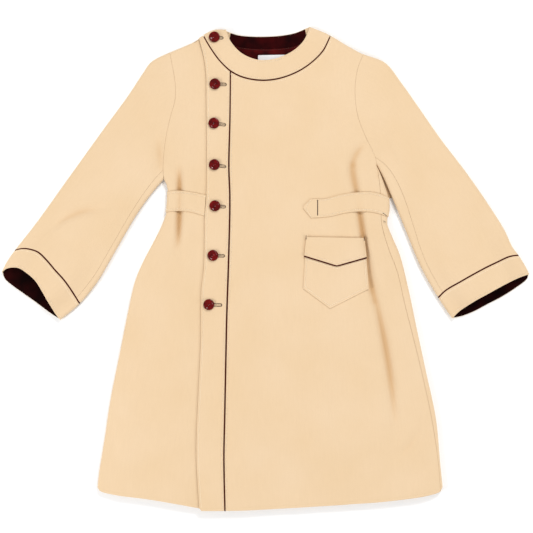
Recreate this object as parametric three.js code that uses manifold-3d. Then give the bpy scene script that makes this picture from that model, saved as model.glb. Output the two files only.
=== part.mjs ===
// A collarless wool coat with an off-centre buttoned closing, laid flat on its back, front side up.
// Millimetres. X runs to the right, Y towards the neck, Z up from the surface that the coat lies on.
// Every cloth piece is a wall that follows one of two faces of the flat coat: the top face, which
// is the coat's front, and the under face, which is its back. Both meet in rolled folds at the sides.
import * as THREE from "three";
import { mergeVertices } from "three/addons/utils/BufferGeometryUtils.js";
import Module from "manifold-3d";

const wasm = await Module();
wasm.setup();

// Cloth and seams
const CLOTH = 2.0; // wool wall
const BAND = 1.8; // wall of belt, pocket, flap and closing strip
const LINING = 1.0; // wall of the lining and the neck facing
const LABEL = 0.5;
const SEAM = 0.3; // space left between two sewn pieces
const LAP = 2.3; // the closing strip stands this far out over the panel beneath it
const UNDERLAP_SINK = 1.2; // how much deeper the panel lies where the strip covers it
const PIPING_RADIUS = 1.1;
const PIPING_SINK = 0.8; // how deep the middle of the piping lies below the cloth's face
const PIPING_GAP = PIPING_RADIUS + 0.5; // from the middle of the piping to the cloth beside it
const NECK_GAP = PIPING_GAP + 0.8; // the same at the tight curve of the neck
const FLAP_PIPING_LIFT = 1; // from the pocket to the flap's piping

// The flat coat's height
const ROLL = 6; // radius of the folded outer edges
const LOFT = 4; // rise of the top face inside its folded edges
const LOFT_REACH = 50; // distance from a folded edge at which the rise is full
const CUFF_LOFT = 14; // further rise where a cuff stands open
const CUFF_LOFT_REACH = 95;
const BELT_RISE = SEAM + BAND + 0.25; // the back rises over the belt that runs beneath it
const BELT_HALF = 20;
const BELT_LEVEL = 20; // the risen part runs on level this far past the belt's edges
const BELT_FADE = 45;

const BUTTON = { radius: 11, rim: 4.0, dish: 3.1, foot: 9.6, dimple: 1.6, sides: 16 };

const COLOURS = {
  wool: { color: 0xf6dbb5, roughness: 0.95 },
  wine: { color: 0x55281c, roughness: 0.7 },
  lining: { color: 0x3c0e10, roughness: 0.5 },
  facing: { color: 0x2c080a, roughness: 0.8 },
  button: { color: 0x5e0a0a, roughness: 0.15 },
  label: { color: 0xe9e5e6, roughness: 0.8 },
};

// Folded edges in plan, counter-clockwise round the coat, so that the cloth is on their left.
const OUTER_LEFT = [
  { x: -79, y: 476, at: "neck corner" },
  { x: -103, y: 475, at: "shoulder" },
  { x: -125, y: 465, at: "band end" },
  { x: -152, y: 449, at: "shoulder" },
  { x: -192, y: 432, at: "armhole" },
  { x: -229, y: 413, at: "sleeve head" },
  { x: -246, y: 390, at: "sleeve head" },
  { x: -275, y: 346, at: "upper sleeve" },
  { x: -324, y: 279, at: "upper sleeve" },
  { x: -393, y: 183, at: "elbow" },
  { x: -462, y: 87, at: "lower sleeve" },
  { x: -502, y: 36, at: "cuff seam" },
  { x: -518, y: 13, at: "cuff" },
  { x: -529, y: -8, at: "cuff corner" },
];
const LOWER_LEFT = [
  { x: -411, y: -104, at: "cuff corner" },
  { x: -372, y: -71, at: "cuff seam" },
  { x: -335, y: -25, at: "lower sleeve" },
  { x: -311, y: 16, at: "lower sleeve" },
  { x: -271, y: 86, at: "elbow" },
  { x: -253, y: 115, at: "upper sleeve" },
  { x: -230, y: 147, at: "upper sleeve" },
  { x: -204, y: 178, at: "underarm" },
];
const SIDE_LEFT = [
  { x: -204, y: 178, at: "underarm" },
  { x: -198, y: 164, at: "side" },
  { x: -196, y: 142, at: "side" },
  { x: -199, y: 112, at: "waist" },
  { x: -209, y: 84, at: "waist" },
  { x: -226, y: 50, at: "hip" },
  { x: -244, y: 16, at: "hip" },
  { x: -261, y: -24, at: "hip" },
  { x: -275, y: -84, at: "skirt" },
  { x: -291, y: -164, at: "skirt" },
  { x: -311, y: -264, at: "skirt" },
  { x: -323, y: -344, at: "skirt" },
  { x: -333, y: -405, at: "skirt" },
  { x: -337, y: -439, at: "hem corner" },
];
const SIDE_RIGHT = [
  { x: 355, y: -439, at: "hem corner" },
  { x: 350, y: -390, at: "skirt" },
  { x: 342, y: -304, at: "skirt" },
  { x: 321, y: -204, at: "skirt" },
  { x: 303, y: -120, at: "skirt" },
  { x: 287, y: -44, at: "hip" },
  { x: 269, y: 27, at: "hip" },
  { x: 253, y: 65, at: "hip" },
  { x: 244, y: 90, at: "waist" },
  { x: 247, y: 116, at: "waist" },
  { x: 246, y: 142, at: "side" },
  { x: 240, y: 162, at: "side" },
  { x: 233, y: 182, at: "side" },
  { x: 223, y: 206, at: "underarm" },
];
const LOWER_RIGHT = [
  { x: 223, y: 206, at: "underarm" },
  { x: 237, y: 180, at: "upper sleeve" },
  { x: 253, y: 143, at: "upper sleeve" },
  { x: 280, y: 78, at: "elbow" },
  { x: 311, y: 3, at: "lower sleeve" },
  { x: 346, y: -59, at: "cuff seam" },
  { x: 374, y: -101, at: "cuff corner" },
];
const OUTER_RIGHT = [
  { x: 529, y: -12, at: "cuff corner" },
  { x: 519, y: 7, at: "cuff" },
  { x: 507, y: 26, at: "cuff seam" },
  { x: 495, y: 42, at: "lower sleeve" },
  { x: 479, y: 76, at: "lower sleeve" },
  { x: 441, y: 136, at: "elbow" },
  { x: 399, y: 196, at: "upper sleeve" },
  { x: 353, y: 256, at: "upper sleeve" },
  { x: 309, y: 319, at: "upper sleeve" },
  { x: 273, y: 370, at: "sleeve head" },
  { x: 240, y: 411, at: "sleeve head" },
  { x: 196, y: 429, at: "armhole" },
  { x: 161, y: 448, at: "shoulder" },
  { x: 131, y: 466, at: "band end" },
  { x: 88, y: 484, at: "neck corner" },
];

// Open edges and seams in plan
const HEM = [
  { x: -337, y: -439 },
  { x: -330, y: -447 },
  { x: -296, y: -455 },
  { x: -237, y: -463 },
  { x: -170, y: -475 },
  { x: -135, y: -482 },
  { x: -110, y: -485 },
  { x: -51, y: -485 },
  { x: 69, y: -479 },
  { x: 176, y: -472 },
  { x: 240, y: -467 },
  { x: 321, y: -456 },
  { x: 349, y: -448 },
  { x: 355, y: -439 },
];
const FRONT_SIDE_HEM_END = { x: -92, y: -483 };
const STRIP_HEM = [
  { x: -132, y: -480 },
  { x: -128, y: -485 },
  { x: -81, y: -485 },
];
const SIDE_SEAM_RIGHT = [
  { x: 350, y: -447, at: "hem" },
  { x: 345, y: -385, at: "skirt" },
  { x: 333, y: -305, at: "skirt" },
  { x: 310, y: -198, at: "skirt" },
  { x: 278, y: -70, at: "hip" },
  { x: 263, y: -6, at: "hip" },
  { x: 247, y: 36, at: "hip" },
  { x: 232, y: 90, at: "waist" },
  { x: 231, y: 130, at: "side" },
  { x: 228, y: 170, at: "side" },
  { x: 223, y: 206, at: "underarm" },
];
const ARMHOLE_LEFT = [
  { x: -204, y: 178, at: "underarm" },
  { x: -205, y: 209, at: "front" },
  { x: -199, y: 260, at: "front" },
  { x: -191, y: 298, at: "front" },
  { x: -181, y: 335, at: "front" },
  { x: -180, y: 364, at: "front" },
  { x: -185, y: 398, at: "front" },
  { x: -192, y: 432, at: "shoulder" },
];
const ARMHOLE_RIGHT = [
  { x: 223, y: 206, at: "underarm" },
  { x: 220, y: 220, at: "front" },
  { x: 213, y: 236, at: "front" },
  { x: 202, y: 258, at: "front" },
  { x: 186, y: 298, at: "front" },
  { x: 180, y: 330, at: "front" },
  { x: 179, y: 362, at: "front" },
  { x: 184, y: 397, at: "front" },
  { x: 196, y: 429, at: "shoulder" },
];
const CLOSING_SEAM = [
  { x: -81, y: -485, at: "hem" },
  { x: -83, y: -380, at: "skirt" },
  { x: -81, y: -282, at: "skirt" },
  { x: -77, y: -86, at: "hip" },
  { x: -74, y: 0, at: "hip" },
  { x: -71, y: 140, at: "waist" },
  { x: -73, y: 202, at: "chest" },
  { x: -71, y: 296, at: "chest" },
  { x: -70, y: 393, at: "neck band" },
];
const STRIP_FREE_EDGE = [
  { x: -132, y: -480, at: "hem" },
  { x: -135, y: -438, at: "skirt" },
  { x: -138, y: -364, at: "skirt" },
  { x: -134, y: -252, at: "skirt" },
  { x: -129, y: -144, at: "skirt" },
  { x: -128, y: -44, at: "hip" },
  { x: -123, y: 0, at: "hip" },
  { x: -121, y: 106, at: "waist" },
  { x: -118, y: 146, at: "waist" },
  { x: -118, y: 330, at: "chest" },
  { x: -119, y: 390, at: "chest" },
  { x: -124, y: 425, at: "chest" },
  { x: -133, y: 460, at: "shoulder" },
];
const UNDERLAP_EDGE = [
  { x: -92, y: -483, at: "hem" },
  { x: -93, y: -380, at: "skirt" },
  { x: -88, y: -100, at: "hip" },
  { x: -82, y: 140, at: "waist" },
  { x: -82, y: 390, at: "neck band" },
  { x: -89, y: 478, at: "shoulder" },
];
const NECK_SEAM = [
  { x: -125, y: 465, at: "shoulder" },
  { x: -110, y: 439, at: "closing" },
  { x: -92, y: 414, at: "closing" },
  { x: -70, y: 393, at: "closing seam" },
  { x: -49, y: 382, at: "front" },
  { x: -23, y: 376, at: "front" },
  { x: 4, y: 375, at: "front" },
  { x: 33, y: 380, at: "front" },
  { x: 66, y: 393, at: "front" },
  { x: 94, y: 412, at: "front" },
  { x: 115, y: 434, at: "front" },
  { x: 131, y: 466, at: "shoulder" },
];
const NECK_EDGE_FRONT = [
  { x: -79, y: 476, at: "shoulder" },
  { x: -72, y: 457, at: "front" },
  { x: -59, y: 439, at: "front" },
  { x: -43, y: 426, at: "front" },
  { x: -15, y: 416, at: "front" },
  { x: 13, y: 417, at: "front" },
  { x: 38, y: 425, at: "front" },
  { x: 59, y: 437, at: "front" },
  { x: 75, y: 453, at: "front" },
  { x: 84, y: 470, at: "front" },
  { x: 88, y: 484, at: "shoulder" },
];
const NECK_EDGE_BACK = [
  { x: -79, y: 476 },
  { x: -56, y: 468 },
  { x: -28, y: 465 },
  { x: 8, y: 465 },
  { x: 33, y: 467 },
  { x: 59, y: 472 },
  { x: 88, y: 484 },
];
const NECK_SEAM_BACK = [
  { x: -125, y: 465 },
  { x: -88, y: 439 },
  { x: -45, y: 427 },
  { x: 5, y: 424 },
  { x: 55, y: 430 },
  { x: 98, y: 445 },
  { x: 131, y: 466 },
];
const FACING_LOWER = [
  { x: -84, y: 452 },
  { x: -45, y: 442 },
  { x: 5, y: 439 },
  { x: 55, y: 444 },
  { x: 94, y: 458 },
];
const LINING_LOWER = [
  { x: -96, y: 402 },
  { x: 5, y: 382 },
  { x: 108, y: 404 },
];
const LABEL_PLACE = { left: -15, right: 39, low: 405, high: 427, tilt: 1 };

// Cuffs in plan, from the outer corner to the lower one
const CUFF_SEAM_TOP_LEFT = [
  { x: -502, y: 36 },
  { x: -485, y: 39 },
  { x: -468, y: 37 },
  { x: -452, y: 31 },
  { x: -436, y: 16 },
  { x: -419, y: -4 },
  { x: -398, y: -28 },
  { x: -372, y: -71 },
];
const CUFF_SEAM_UNDER_LEFT = [
  { x: -502, y: 36 },
  { x: -470, y: 2 },
  { x: -430, y: -35 },
  { x: -372, y: -71 },
];
const CUFF_EDGE_TOP_LEFT = [
  { x: -529, y: -8 },
  { x: -514, y: 0 },
  { x: -493, y: 0 },
  { x: -475, y: -10 },
  { x: -458, y: -25 },
  { x: -444, y: -47 },
  { x: -430, y: -73 },
  { x: -420, y: -92 },
  { x: -411, y: -104 },
];
const CUFF_EDGE_UNDER_LEFT = [
  { x: -529, y: -8 },
  { x: -523, y: -22 },
  { x: -510, y: -34 },
  { x: -485, y: -52 },
  { x: -461, y: -69 },
  { x: -433, y: -90 },
  { x: -411, y: -104 },
];
const CUFF_SEAM_TOP_RIGHT = [
  { x: 507, y: 26 },
  { x: 488, y: 23 },
  { x: 464, y: 13 },
  { x: 433, y: -2 },
  { x: 392, y: -25 },
  { x: 360, y: -45 },
  { x: 346, y: -59 },
];
const CUFF_SEAM_UNDER_RIGHT = [
  { x: 507, y: 26 },
  { x: 478, y: 0 },
  { x: 438, y: -26 },
  { x: 346, y: -59 },
];
const CUFF_EDGE_TOP_RIGHT = [
  { x: 529, y: -12 },
  { x: 500, y: -22 },
  { x: 474, y: -34 },
  { x: 443, y: -51 },
  { x: 413, y: -68 },
  { x: 387, y: -87 },
  { x: 374, y: -101 },
];
const CUFF_EDGE_UNDER_RIGHT = [
  { x: 529, y: -12 },
  { x: 525, y: -22 },
  { x: 505, y: -38 },
  { x: 474, y: -58 },
  { x: 445, y: -73 },
  { x: 419, y: -87 },
  { x: 396, y: -96 },
  { x: 374, y: -101 },
];
const CUFF_MOUTHS = [
  { x: -470, y: -42 },
  { x: 452, y: -54 },
];

// Soft creases of the top face: a curve from start to end through its bend, with depth and half width
const CREASES = [
  { x0: 205, y0: 250, xm: 158, ym: 226, x1: 186, y1: 160, depth: 2.2, half: 11 },
  { x0: 180, y0: 190, xm: 196, ym: 70, x1: 219, y1: -60, depth: 3.2, half: 10 },
  { x0: 214, y0: -40, xm: 252, ym: -160, x1: 261, y1: -312, depth: 2.6, half: 13 },
  { x0: 310, y0: -321, xm: 294, ym: -356, x1: 262, y1: -378, depth: 1.4, half: 10 },
  { x0: -173, y0: 196, xm: -170, ym: 120, x1: -176, y1: 44, depth: 3.4, half: 8 },
  { x0: -313, y0: 122, xm: -386, ym: 122, x1: -432, y1: 74, depth: 1.6, half: 12 },
  { x0: -214, y0: 300, xm: -206, ym: 246, x1: -216, y1: 196, depth: 2.0, half: 13 },
  { x0: 222, y0: 285, xm: 238, ym: 240, x1: 262, y1: 210, depth: 1.6, half: 12 },
];

// Belt, pocket, flap and buttons in plan, on the face that carries them
const BELT_LEFT = {
  bottom: [
    { x: -210, y: 109 },
    { x: -196, y: 112 },
    { x: -178, y: 114 },
    { x: -150, y: 112 },
    { x: -121.6, y: 104 },
  ],
  top: [
    { x: -210, y: 151 },
    { x: -196, y: 153 },
    { x: -173, y: 155 },
    { x: -150, y: 152 },
    { x: -118.8, y: 146 },
  ],
};
const BELT_RIGHT = {
  tip: [
    { x: 75, y: 119.5 },
    { x: 75, y: 122.5 },
  ],
  bottom: [
    { x: 91, y: 100 },
    { x: 129, y: 103 },
    { x: 160, y: 110 },
    { x: 195, y: 113 },
    { x: 222, y: 110 },
    { x: 246, y: 103 },
    { x: 262, y: 99 },
  ],
  top: [
    { x: 91, y: 138 },
    { x: 118, y: 138 },
    { x: 154, y: 147 },
    { x: 195, y: 152 },
    { x: 222, y: 150 },
    { x: 246, y: 141 },
    { x: 262, y: 137 },
  ],
};
const BELT_BACK = {
  bottom: [
    { x: -212, y: 112 },
    { x: 262, y: 103 },
  ],
  top: [
    { x: 262, y: 141 },
    { x: -212, y: 153 },
  ],
};
const BELT_BACK_MIDDLE = [
  { x: -198, y: 132 },
  { x: 0, y: 127 },
  { x: 247, y: 122 },
];
const POCKET = {
  topLeft: { x: 81, y: 62 },
  topRight: { x: 199, y: 60 },
  left: { x: 75, y: -41 },
  right: { x: 206, y: -42 },
  tip: { x: 129, y: -81 },
  flapLeft: { x: 77, y: 25 },
  flapRight: { x: 202, y: 22 },
  flapTip: { x: 142, y: 5 },
};
const BUTTONS = [
  { x: -102, y: 461 },
  { x: -101, y: 367 },
  { x: -103, y: 289 },
  { x: -102, y: 206 },
  { x: -101, y: 124 },
  { x: -105, y: 25 },
  { x: -113, y: -73 },
];

// Stations of the walls: fractions along an edge, close together beside a folded edge
const SIDE_STEPS = [0, 0.03, 0.1, 0.2, 0.31, 0.42, 0.53, 0.63, 0.71, 0.78, 0.84, 0.88, 0.92, 0.96, 0.985, 1];
const ARM_STEPS = [0, 0.01, 0.035, 0.1, 0.2, 0.3, 0.4, 0.5, 0.6, 0.7, 0.8, 0.9, 0.965, 0.99, 1];
const SLEEVE_STEPS = [0, 0.03, 0.12, 0.25, 0.38, 0.5, 0.62, 0.74, 0.86, 0.95, 1];
const NECK_STEPS = [0, 0.08, 0.17, 0.26, 0.34, 0.42, 0.5, 0.58, 0.66, 0.75, 0.84, 0.92, 0.97, 0.992, 1];
const CLOSING_STEPS = [0, 0.035, 0.13, 0.35, 0.6, 0.8];
const SLEEVE_SEAM = 0.93; // from the outer edge to the front sleeve seam, as a share of the width
const HIDDEN_SEAM = 0.2; // the same for the sleeve seam on the under face

const clamp = THREE.MathUtils.clamp;
const smooth = THREE.MathUtils.smoothstep;
const plan = (row) => new THREE.Vector2(row.x, row.y);

// An edge is a function from 0 to 1 to a point in plan.
function curveOf(rows) {
  const points = rows.map((row) => new THREE.Vector3(row.x, row.y, 0));
  const curve = new THREE.CatmullRomCurve3(points, false, "centripetal");
  curve.arcLengthDivisions = 600;
  return (s) => {
    const p = curve.getPointAt(clamp(s, 0, 1));
    return new THREE.Vector2(p.x, p.y);
  };
}

function straight(rows) {
  const path = new THREE.CurvePath();
  rows.slice(1).forEach((row, i) => path.add(new THREE.LineCurve(plan(rows[i]), plan(row))));
  return (s) => path.getPointAt(clamp(s, 0, 1));
}

// Share of the edge's length at which it passes closest to a place
function shareAt(edge, place) {
  const target = plan(place);
  let best = 0;
  for (let i = 1; i <= 4000; i += 1) {
    if (edge(i / 4000).distanceTo(target) < edge(best).distanceTo(target)) best = i / 4000;
  }
  return best;
}

const stretch = (edge, from, to) => (s) => edge(from + s * (to - from));
const between = (edge, a, b) => stretch(edge, shareAt(edge, a), shareAt(edge, b));
const chain = (first, second, joint) => (s) =>
  s <= joint ? first(s / joint) : second((s - joint) / (1 - joint));

function named(rows, at) {
  return rows.find((row) => row.at === at);
}

const outerLeft = curveOf(OUTER_LEFT);
const lowerLeft = curveOf(LOWER_LEFT);
const sideLeftDown = curveOf(SIDE_LEFT);
const sideRight = curveOf(SIDE_RIGHT);
const lowerRight = curveOf(LOWER_RIGHT);
const outerRight = curveOf(OUTER_RIGHT);

// The folded edges as short straight steps, run on a little past their ends
const FOLD_STEP = 6;
const FOLD_RUN_ON = 16;
function foldSteps(edge, rows) {
  const length = rows.slice(1).reduce((sum, row, i) => sum + plan(row).distanceTo(plan(rows[i])), 0);
  const count = Math.ceil(length / FOLD_STEP);
  return Array.from({ length: count + 1 }, (_, i) => edge(i / count));
}
const FOLDS = [
  foldSteps(outerLeft, OUTER_LEFT),
  [...foldSteps(lowerLeft, LOWER_LEFT).slice(0, -1), ...foldSteps(sideLeftDown, SIDE_LEFT)],
  [...foldSteps(sideRight, SIDE_RIGHT).slice(0, -1), ...foldSteps(lowerRight, LOWER_RIGHT)],
  foldSteps(outerRight, OUTER_RIGHT),
].map((points) => {
  const runOn = (end, before) => end.clone().sub(before).setLength(FOLD_RUN_ON).add(end);
  return [runOn(points[0], points[1]), ...points, runOn(points.at(-1), points.at(-2))];
});

// Distance to the nearest folded edge and the direction into the cloth
function fold(x, y) {
  let nearest = { gap: Infinity };
  for (const line of FOLDS) {
    for (let i = 1; i < line.length; i += 1) {
      const a = line[i - 1];
      const ax = line[i].x - a.x;
      const ay = line[i].y - a.y;
      const size = ax * ax + ay * ay;
      const t = clamp(((x - a.x) * ax + (y - a.y) * ay) / size, 0, 1);
      const dx = x - a.x - t * ax;
      const dy = y - a.y - t * ay;
      const gap = Math.hypot(dx, dy);
      if (gap < nearest.gap) nearest = { gap, dx, dy, nx: -ay / Math.sqrt(size), ny: ax / Math.sqrt(size) };
    }
  }
  const { gap, dx, dy, nx, ny } = nearest;
  if (gap < 0.5) return { gap: Math.max(0, dx * nx + dy * ny), nx, ny };
  return { gap, nx: dx / gap, ny: dy / gap };
}

function creaseDepth(x, y) {
  let sum = 0;
  for (const c of CREASES) {
    let near = Infinity;
    let along = 0;
    for (let i = 0; i <= 16; i += 1) {
      const t = i / 16;
      const px = (1 - t) ** 2 * c.x0 + 2 * t * (1 - t) * c.xm + t * t * c.x1;
      const py = (1 - t) ** 2 * c.y0 + 2 * t * (1 - t) * c.ym + t * t * c.y1;
      const gap = Math.hypot(x - px, y - py);
      if (gap < near) {
        near = gap;
        along = t;
      }
    }
    sum += c.depth * Math.exp(-((near / c.half) ** 2)) * Math.sin(Math.PI * clamp(along, 0.06, 0.94)) ** 0.6;
  }
  return sum;
}

// Half height of the flat coat above and below the middle of its folded edges
function topHalf(x, y) {
  const inside = smooth(fold(x, y).gap, ROLL * 0.8, LOFT_REACH);
  let rise = LOFT;
  for (const mouth of CUFF_MOUTHS) {
    rise += CUFF_LOFT * Math.exp(-((Math.hypot(x - mouth.x, y - mouth.y) / CUFF_LOFT_REACH) ** 2));
  }
  return ROLL + inside * rise - smooth(fold(x, y).gap, ROLL, 24) * creaseDepth(x, y);
}

const beltBack = curveOf(BELT_BACK_MIDDLE);

function underHalf(x, y) {
  const beltEnds = [BELT_BACK_MIDDLE[0], BELT_BACK_MIDDLE[BELT_BACK_MIDDLE.length - 1]];
  const share = (x - beltEnds[0].x) / (beltEnds[1].x - beltEnds[0].x);
  if (share < -0.05 || share > 1.05) return ROLL;
  const off = Math.abs(y - beltBack(share).y);
  return ROLL - BELT_RISE * (1 - smooth(off, BELT_HALF + BELT_LEVEL, BELT_HALF + BELT_FADE));
}

// Point and outward normal on one face. Side 1 is the top face, side -1 the under face.
function frame(x, y, side) {
  const half = side > 0 ? topHalf : underHalf;
  const { gap, nx, ny } = fold(x, y);
  const away = Math.max(0, ROLL - gap);
  const lift = Math.sqrt(Math.max(0, 1 - (away / ROLL) ** 2));
  const h = half(x, y);
  const step = 0.5;
  const hx = (half(x + step, y) - half(x - step, y)) / (2 * step);
  const hy = (half(x, y + step) - half(x, y - step)) / (2 * step);
  const steep = (h * away) / (ROLL * ROLL);
  const point = new THREE.Vector3(x, y, ROLL + side * Math.max(h * lift, SEAM / 2));
  const normal = new THREE.Vector3(
    -steep * nx - lift * lift * hx,
    -steep * ny - lift * lift * hy,
    side * Math.max(lift, 1e-3),
  ).normalize();
  return { point, normal };
}

// A patch of cloth in plan between four edges; u runs from left to right, v from bottom to top.
function patch(left, right, bottom, top) {
  const c00 = bottom(0);
  const c10 = bottom(1);
  const c01 = top(0);
  const c11 = top(1);
  return (u, v) => {
    const p = left(v).multiplyScalar(1 - u).addScaledVector(right(v), u);
    p.addScaledVector(bottom(u), 1 - v).addScaledVector(top(u), v);
    p.addScaledVector(c00, -(1 - u) * (1 - v)).addScaledVector(c10, -u * (1 - v));
    return p.addScaledVector(c01, -(1 - u) * v).addScaledVector(c11, -u * v);
  };
}

// Rows of frames on a patch. Insets are millimetres kept free along each edge, measured square to
// it, as numbers or functions of the share along that edge.
function frames(shape, us, vs, side, insets = {}) {
  const small = 0.002;
  const inset = (name, s, edge, inward, length) => {
    const gap = typeof insets[name] === "function" ? insets[name](s) : insets[name] ?? 0;
    if (gap === 0) return 0;
    const from = clamp(s, small, 1 - small);
    const along = edge(from + small).sub(edge(from - small)).normalize();
    const into = inward(s).normalize();
    return gap / (length * Math.max(Math.abs(along.cross(into)), 0.25));
  };
  return vs.map((v) =>
    us.map((u) => {
      const width = shape(0, v).distanceTo(shape(1, v));
      const height = shape(u, 0).distanceTo(shape(u, 1));
      const l = inset("left", v, (s) => shape(0, s), (s) => shape(0.02, s).sub(shape(0, s)), width);
      const r = inset("right", v, (s) => shape(1, s), (s) => shape(0.98, s).sub(shape(1, s)), width);
      const b = inset("bottom", u, (s) => shape(s, 0), (s) => shape(s, 0.02).sub(shape(s, 0)), height);
      const t = inset("top", u, (s) => shape(s, 1), (s) => shape(s, 0.98).sub(shape(s, 1)), height);
      const p = shape(l + u * (1 - l - r), b + v * (1 - b - t));
      return frame(p.x, p.y, side);
    }),
  );
}

// Puts grids of equal row count side by side
const beside = (...grids) => grids[0].map((_, i) => grids.flatMap((grid) => grid[i]));

function solid(name, positions, triangles, colour) {
  const geometry = new THREE.BufferGeometry();
  let volume = 0;
  const at = (i) => new THREE.Vector3(...positions[i]);
  for (const [a, b, c] of triangles) volume += at(a).dot(at(b).cross(at(c)));
  const faces = volume < 0 ? triangles.map(([a, b, c]) => [a, c, b]) : triangles;
  geometry.setAttribute("position", new THREE.Float32BufferAttribute(positions.flat(), 3));
  geometry.setIndex(faces.flat());
  geometry.computeVertexNormals();
  const mesh = new THREE.Mesh(geometry, new THREE.MeshStandardMaterial(COLOURS[colour]));
  mesh.name = name;
  return mesh;
}

// A wall of cloth on a grid of frames. Its outer face stands `out` beyond the frames' points.
function wall(name, grid, { out = 0, thick = CLOTH, colour = "wool" } = {}) {
  const rows = grid.length;
  const columns = grid[0].length;
  const layer = (offset) =>
    grid.flat().map(({ point, normal }) => point.clone().addScaledVector(normal, offset).toArray());
  const positions = [...layer(out), ...layer(out - thick)];
  const inner = rows * columns;
  const id = (i, j) => i * columns + j;
  const triangles = [];
  for (let i = 1; i < rows; i += 1) {
    for (let j = 1; j < columns; j += 1) {
      const [a, b, c, d] = [id(i - 1, j - 1), id(i - 1, j), id(i, j), id(i, j - 1)];
      triangles.push([a, b, c], [a, c, d]);
      triangles.push([inner + a, inner + c, inner + b], [inner + a, inner + d, inner + c]);
    }
  }
  const rim = [
    ...Array.from({ length: columns - 1 }, (_, j) => id(0, j)),
    ...Array.from({ length: rows - 1 }, (_, i) => id(i, columns - 1)),
    ...Array.from({ length: columns - 1 }, (_, j) => id(rows - 1, columns - 1 - j)),
    ...Array.from({ length: rows - 1 }, (_, i) => id(rows - 1 - i, 0)),
  ];
  rim.forEach((a, k) => {
    const b = rim[(k + 1) % rim.length];
    triangles.push([a, inner + a, inner + b], [a, inner + b, b]);
  });
  return solid(name, positions, triangles, colour);
}

// A round cord through frames, its middle `sink` below their points
function piping(name, line, sink = PIPING_SINK, sides = 6) {
  const middles = line.map(({ point, normal }) => point.clone().addScaledVector(normal, -sink));
  const positions = [];
  const triangles = [];
  middles.forEach((middle, i) => {
    const ahead = middles[Math.min(i + 1, middles.length - 1)];
    const behind = middles[Math.max(i - 1, 0)];
    const along = ahead.clone().sub(behind).normalize();
    const across = along.clone().cross(line[i].normal).normalize();
    const up = across.clone().cross(along);
    for (let k = 0; k < sides; k += 1) {
      const turn = (2 * Math.PI * k) / sides;
      const p = middle.clone().addScaledVector(across, PIPING_RADIUS * Math.cos(turn));
      positions.push(p.addScaledVector(up, PIPING_RADIUS * Math.sin(turn)).toArray());
    }
  });
  const id = (i, k) => i * sides + (k % sides);
  for (let i = 1; i < middles.length; i += 1) {
    for (let k = 0; k < sides; k += 1) {
      triangles.push([id(i - 1, k), id(i - 1, k + 1), id(i, k + 1)]);
      triangles.push([id(i - 1, k), id(i, k + 1), id(i, k)]);
    }
  }
  const last = middles.length - 1;
  for (let k = 1; k < sides - 1; k += 1) {
    triangles.push([id(0, 0), id(0, k + 1), id(0, k)]);
    triangles.push([id(last, 0), id(last, k), id(last, k + 1)]);
  }
  return solid(name, positions, triangles, "wine");
}

// Body panels. Their rows run from the hem to the underarm and on to the shoulder.
const UNDERARM = 0.7; // share of the rows at which the side ends and the armhole begins
const ROWS = [
  ...SIDE_STEPS.map((s) => s * UNDERARM),
  ...ARM_STEPS.slice(0, -1)
    .map((s) => 1 - s * (1 - UNDERARM))
    .reverse(),
];
const halfSeam = (v) => (v > UNDERARM - 1e-6 ? SEAM / 2 : 0);

const armholeLeft = curveOf(ARMHOLE_LEFT);
const armholeRight = curveOf(ARMHOLE_RIGHT);
const edgeLeft = chain((s) => sideLeftDown(1 - s), armholeLeft, UNDERARM);
const edgeRight = chain(sideRight, armholeRight, UNDERARM);
const seamRight = chain(curveOf(SIDE_SEAM_RIGHT), armholeRight, UNDERARM);
const hem = curveOf(HEM);
const neckSeam = curveOf(NECK_SEAM);
const shoulderLeft = between(outerLeft, named(OUTER_LEFT, "armhole"), named(OUTER_LEFT, "neck corner"));
const shoulderRight = between(outerRight, named(OUTER_RIGHT, "neck corner"), named(OUTER_RIGHT, "armhole"));
const bandEndLeft = shareAt(shoulderLeft, named(OUTER_LEFT, "band end"));
const bandEndRight = shareAt(shoulderRight, named(OUTER_RIGHT, "band end"));
// Edges inside the front are paced so that their underarm share lies level with the underarm.
const UNDERARM_LEVEL = 192;
function paced(rows) {
  const edge = curveOf(rows);
  const level = shareAtLevel(edge, UNDERARM_LEVEL);
  return chain(stretch(edge, 0, level), stretch(edge, level, 1), UNDERARM);
}
function shareAtLevel(edge, y) {
  let low = 0;
  let high = 1;
  for (let i = 0; i < 30; i += 1) {
    const middle = (low + high) / 2;
    if (edge(middle).y < y) low = middle;
    else high = middle;
  }
  return low;
}
// The same rows with the last one moved onto an edge
const endingOn = (edge, rows) => [...rows.slice(0, -1), edge(shareAt(edge, rows[rows.length - 1]))];
const closingSeam = paced(CLOSING_SEAM);
const closingJoint = shareAt(neckSeam, named(NECK_SEAM, "closing seam"));

// How far the upper front stands out over the lap, fading away to the right
const LAP_FADE_FROM = -60;
const LAP_FADE_TO = 30;
const lapAt = (x) => LAP * (1 - smooth(x, LAP_FADE_FROM, LAP_FADE_TO));

const movedOut = ({ point, normal }, by) => ({ point: point.clone().addScaledVector(normal, by), normal });
const lifted = (grid) => grid.map((row) => row.map((f) => movedOut(f, lapAt(f.point.x))));

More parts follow.
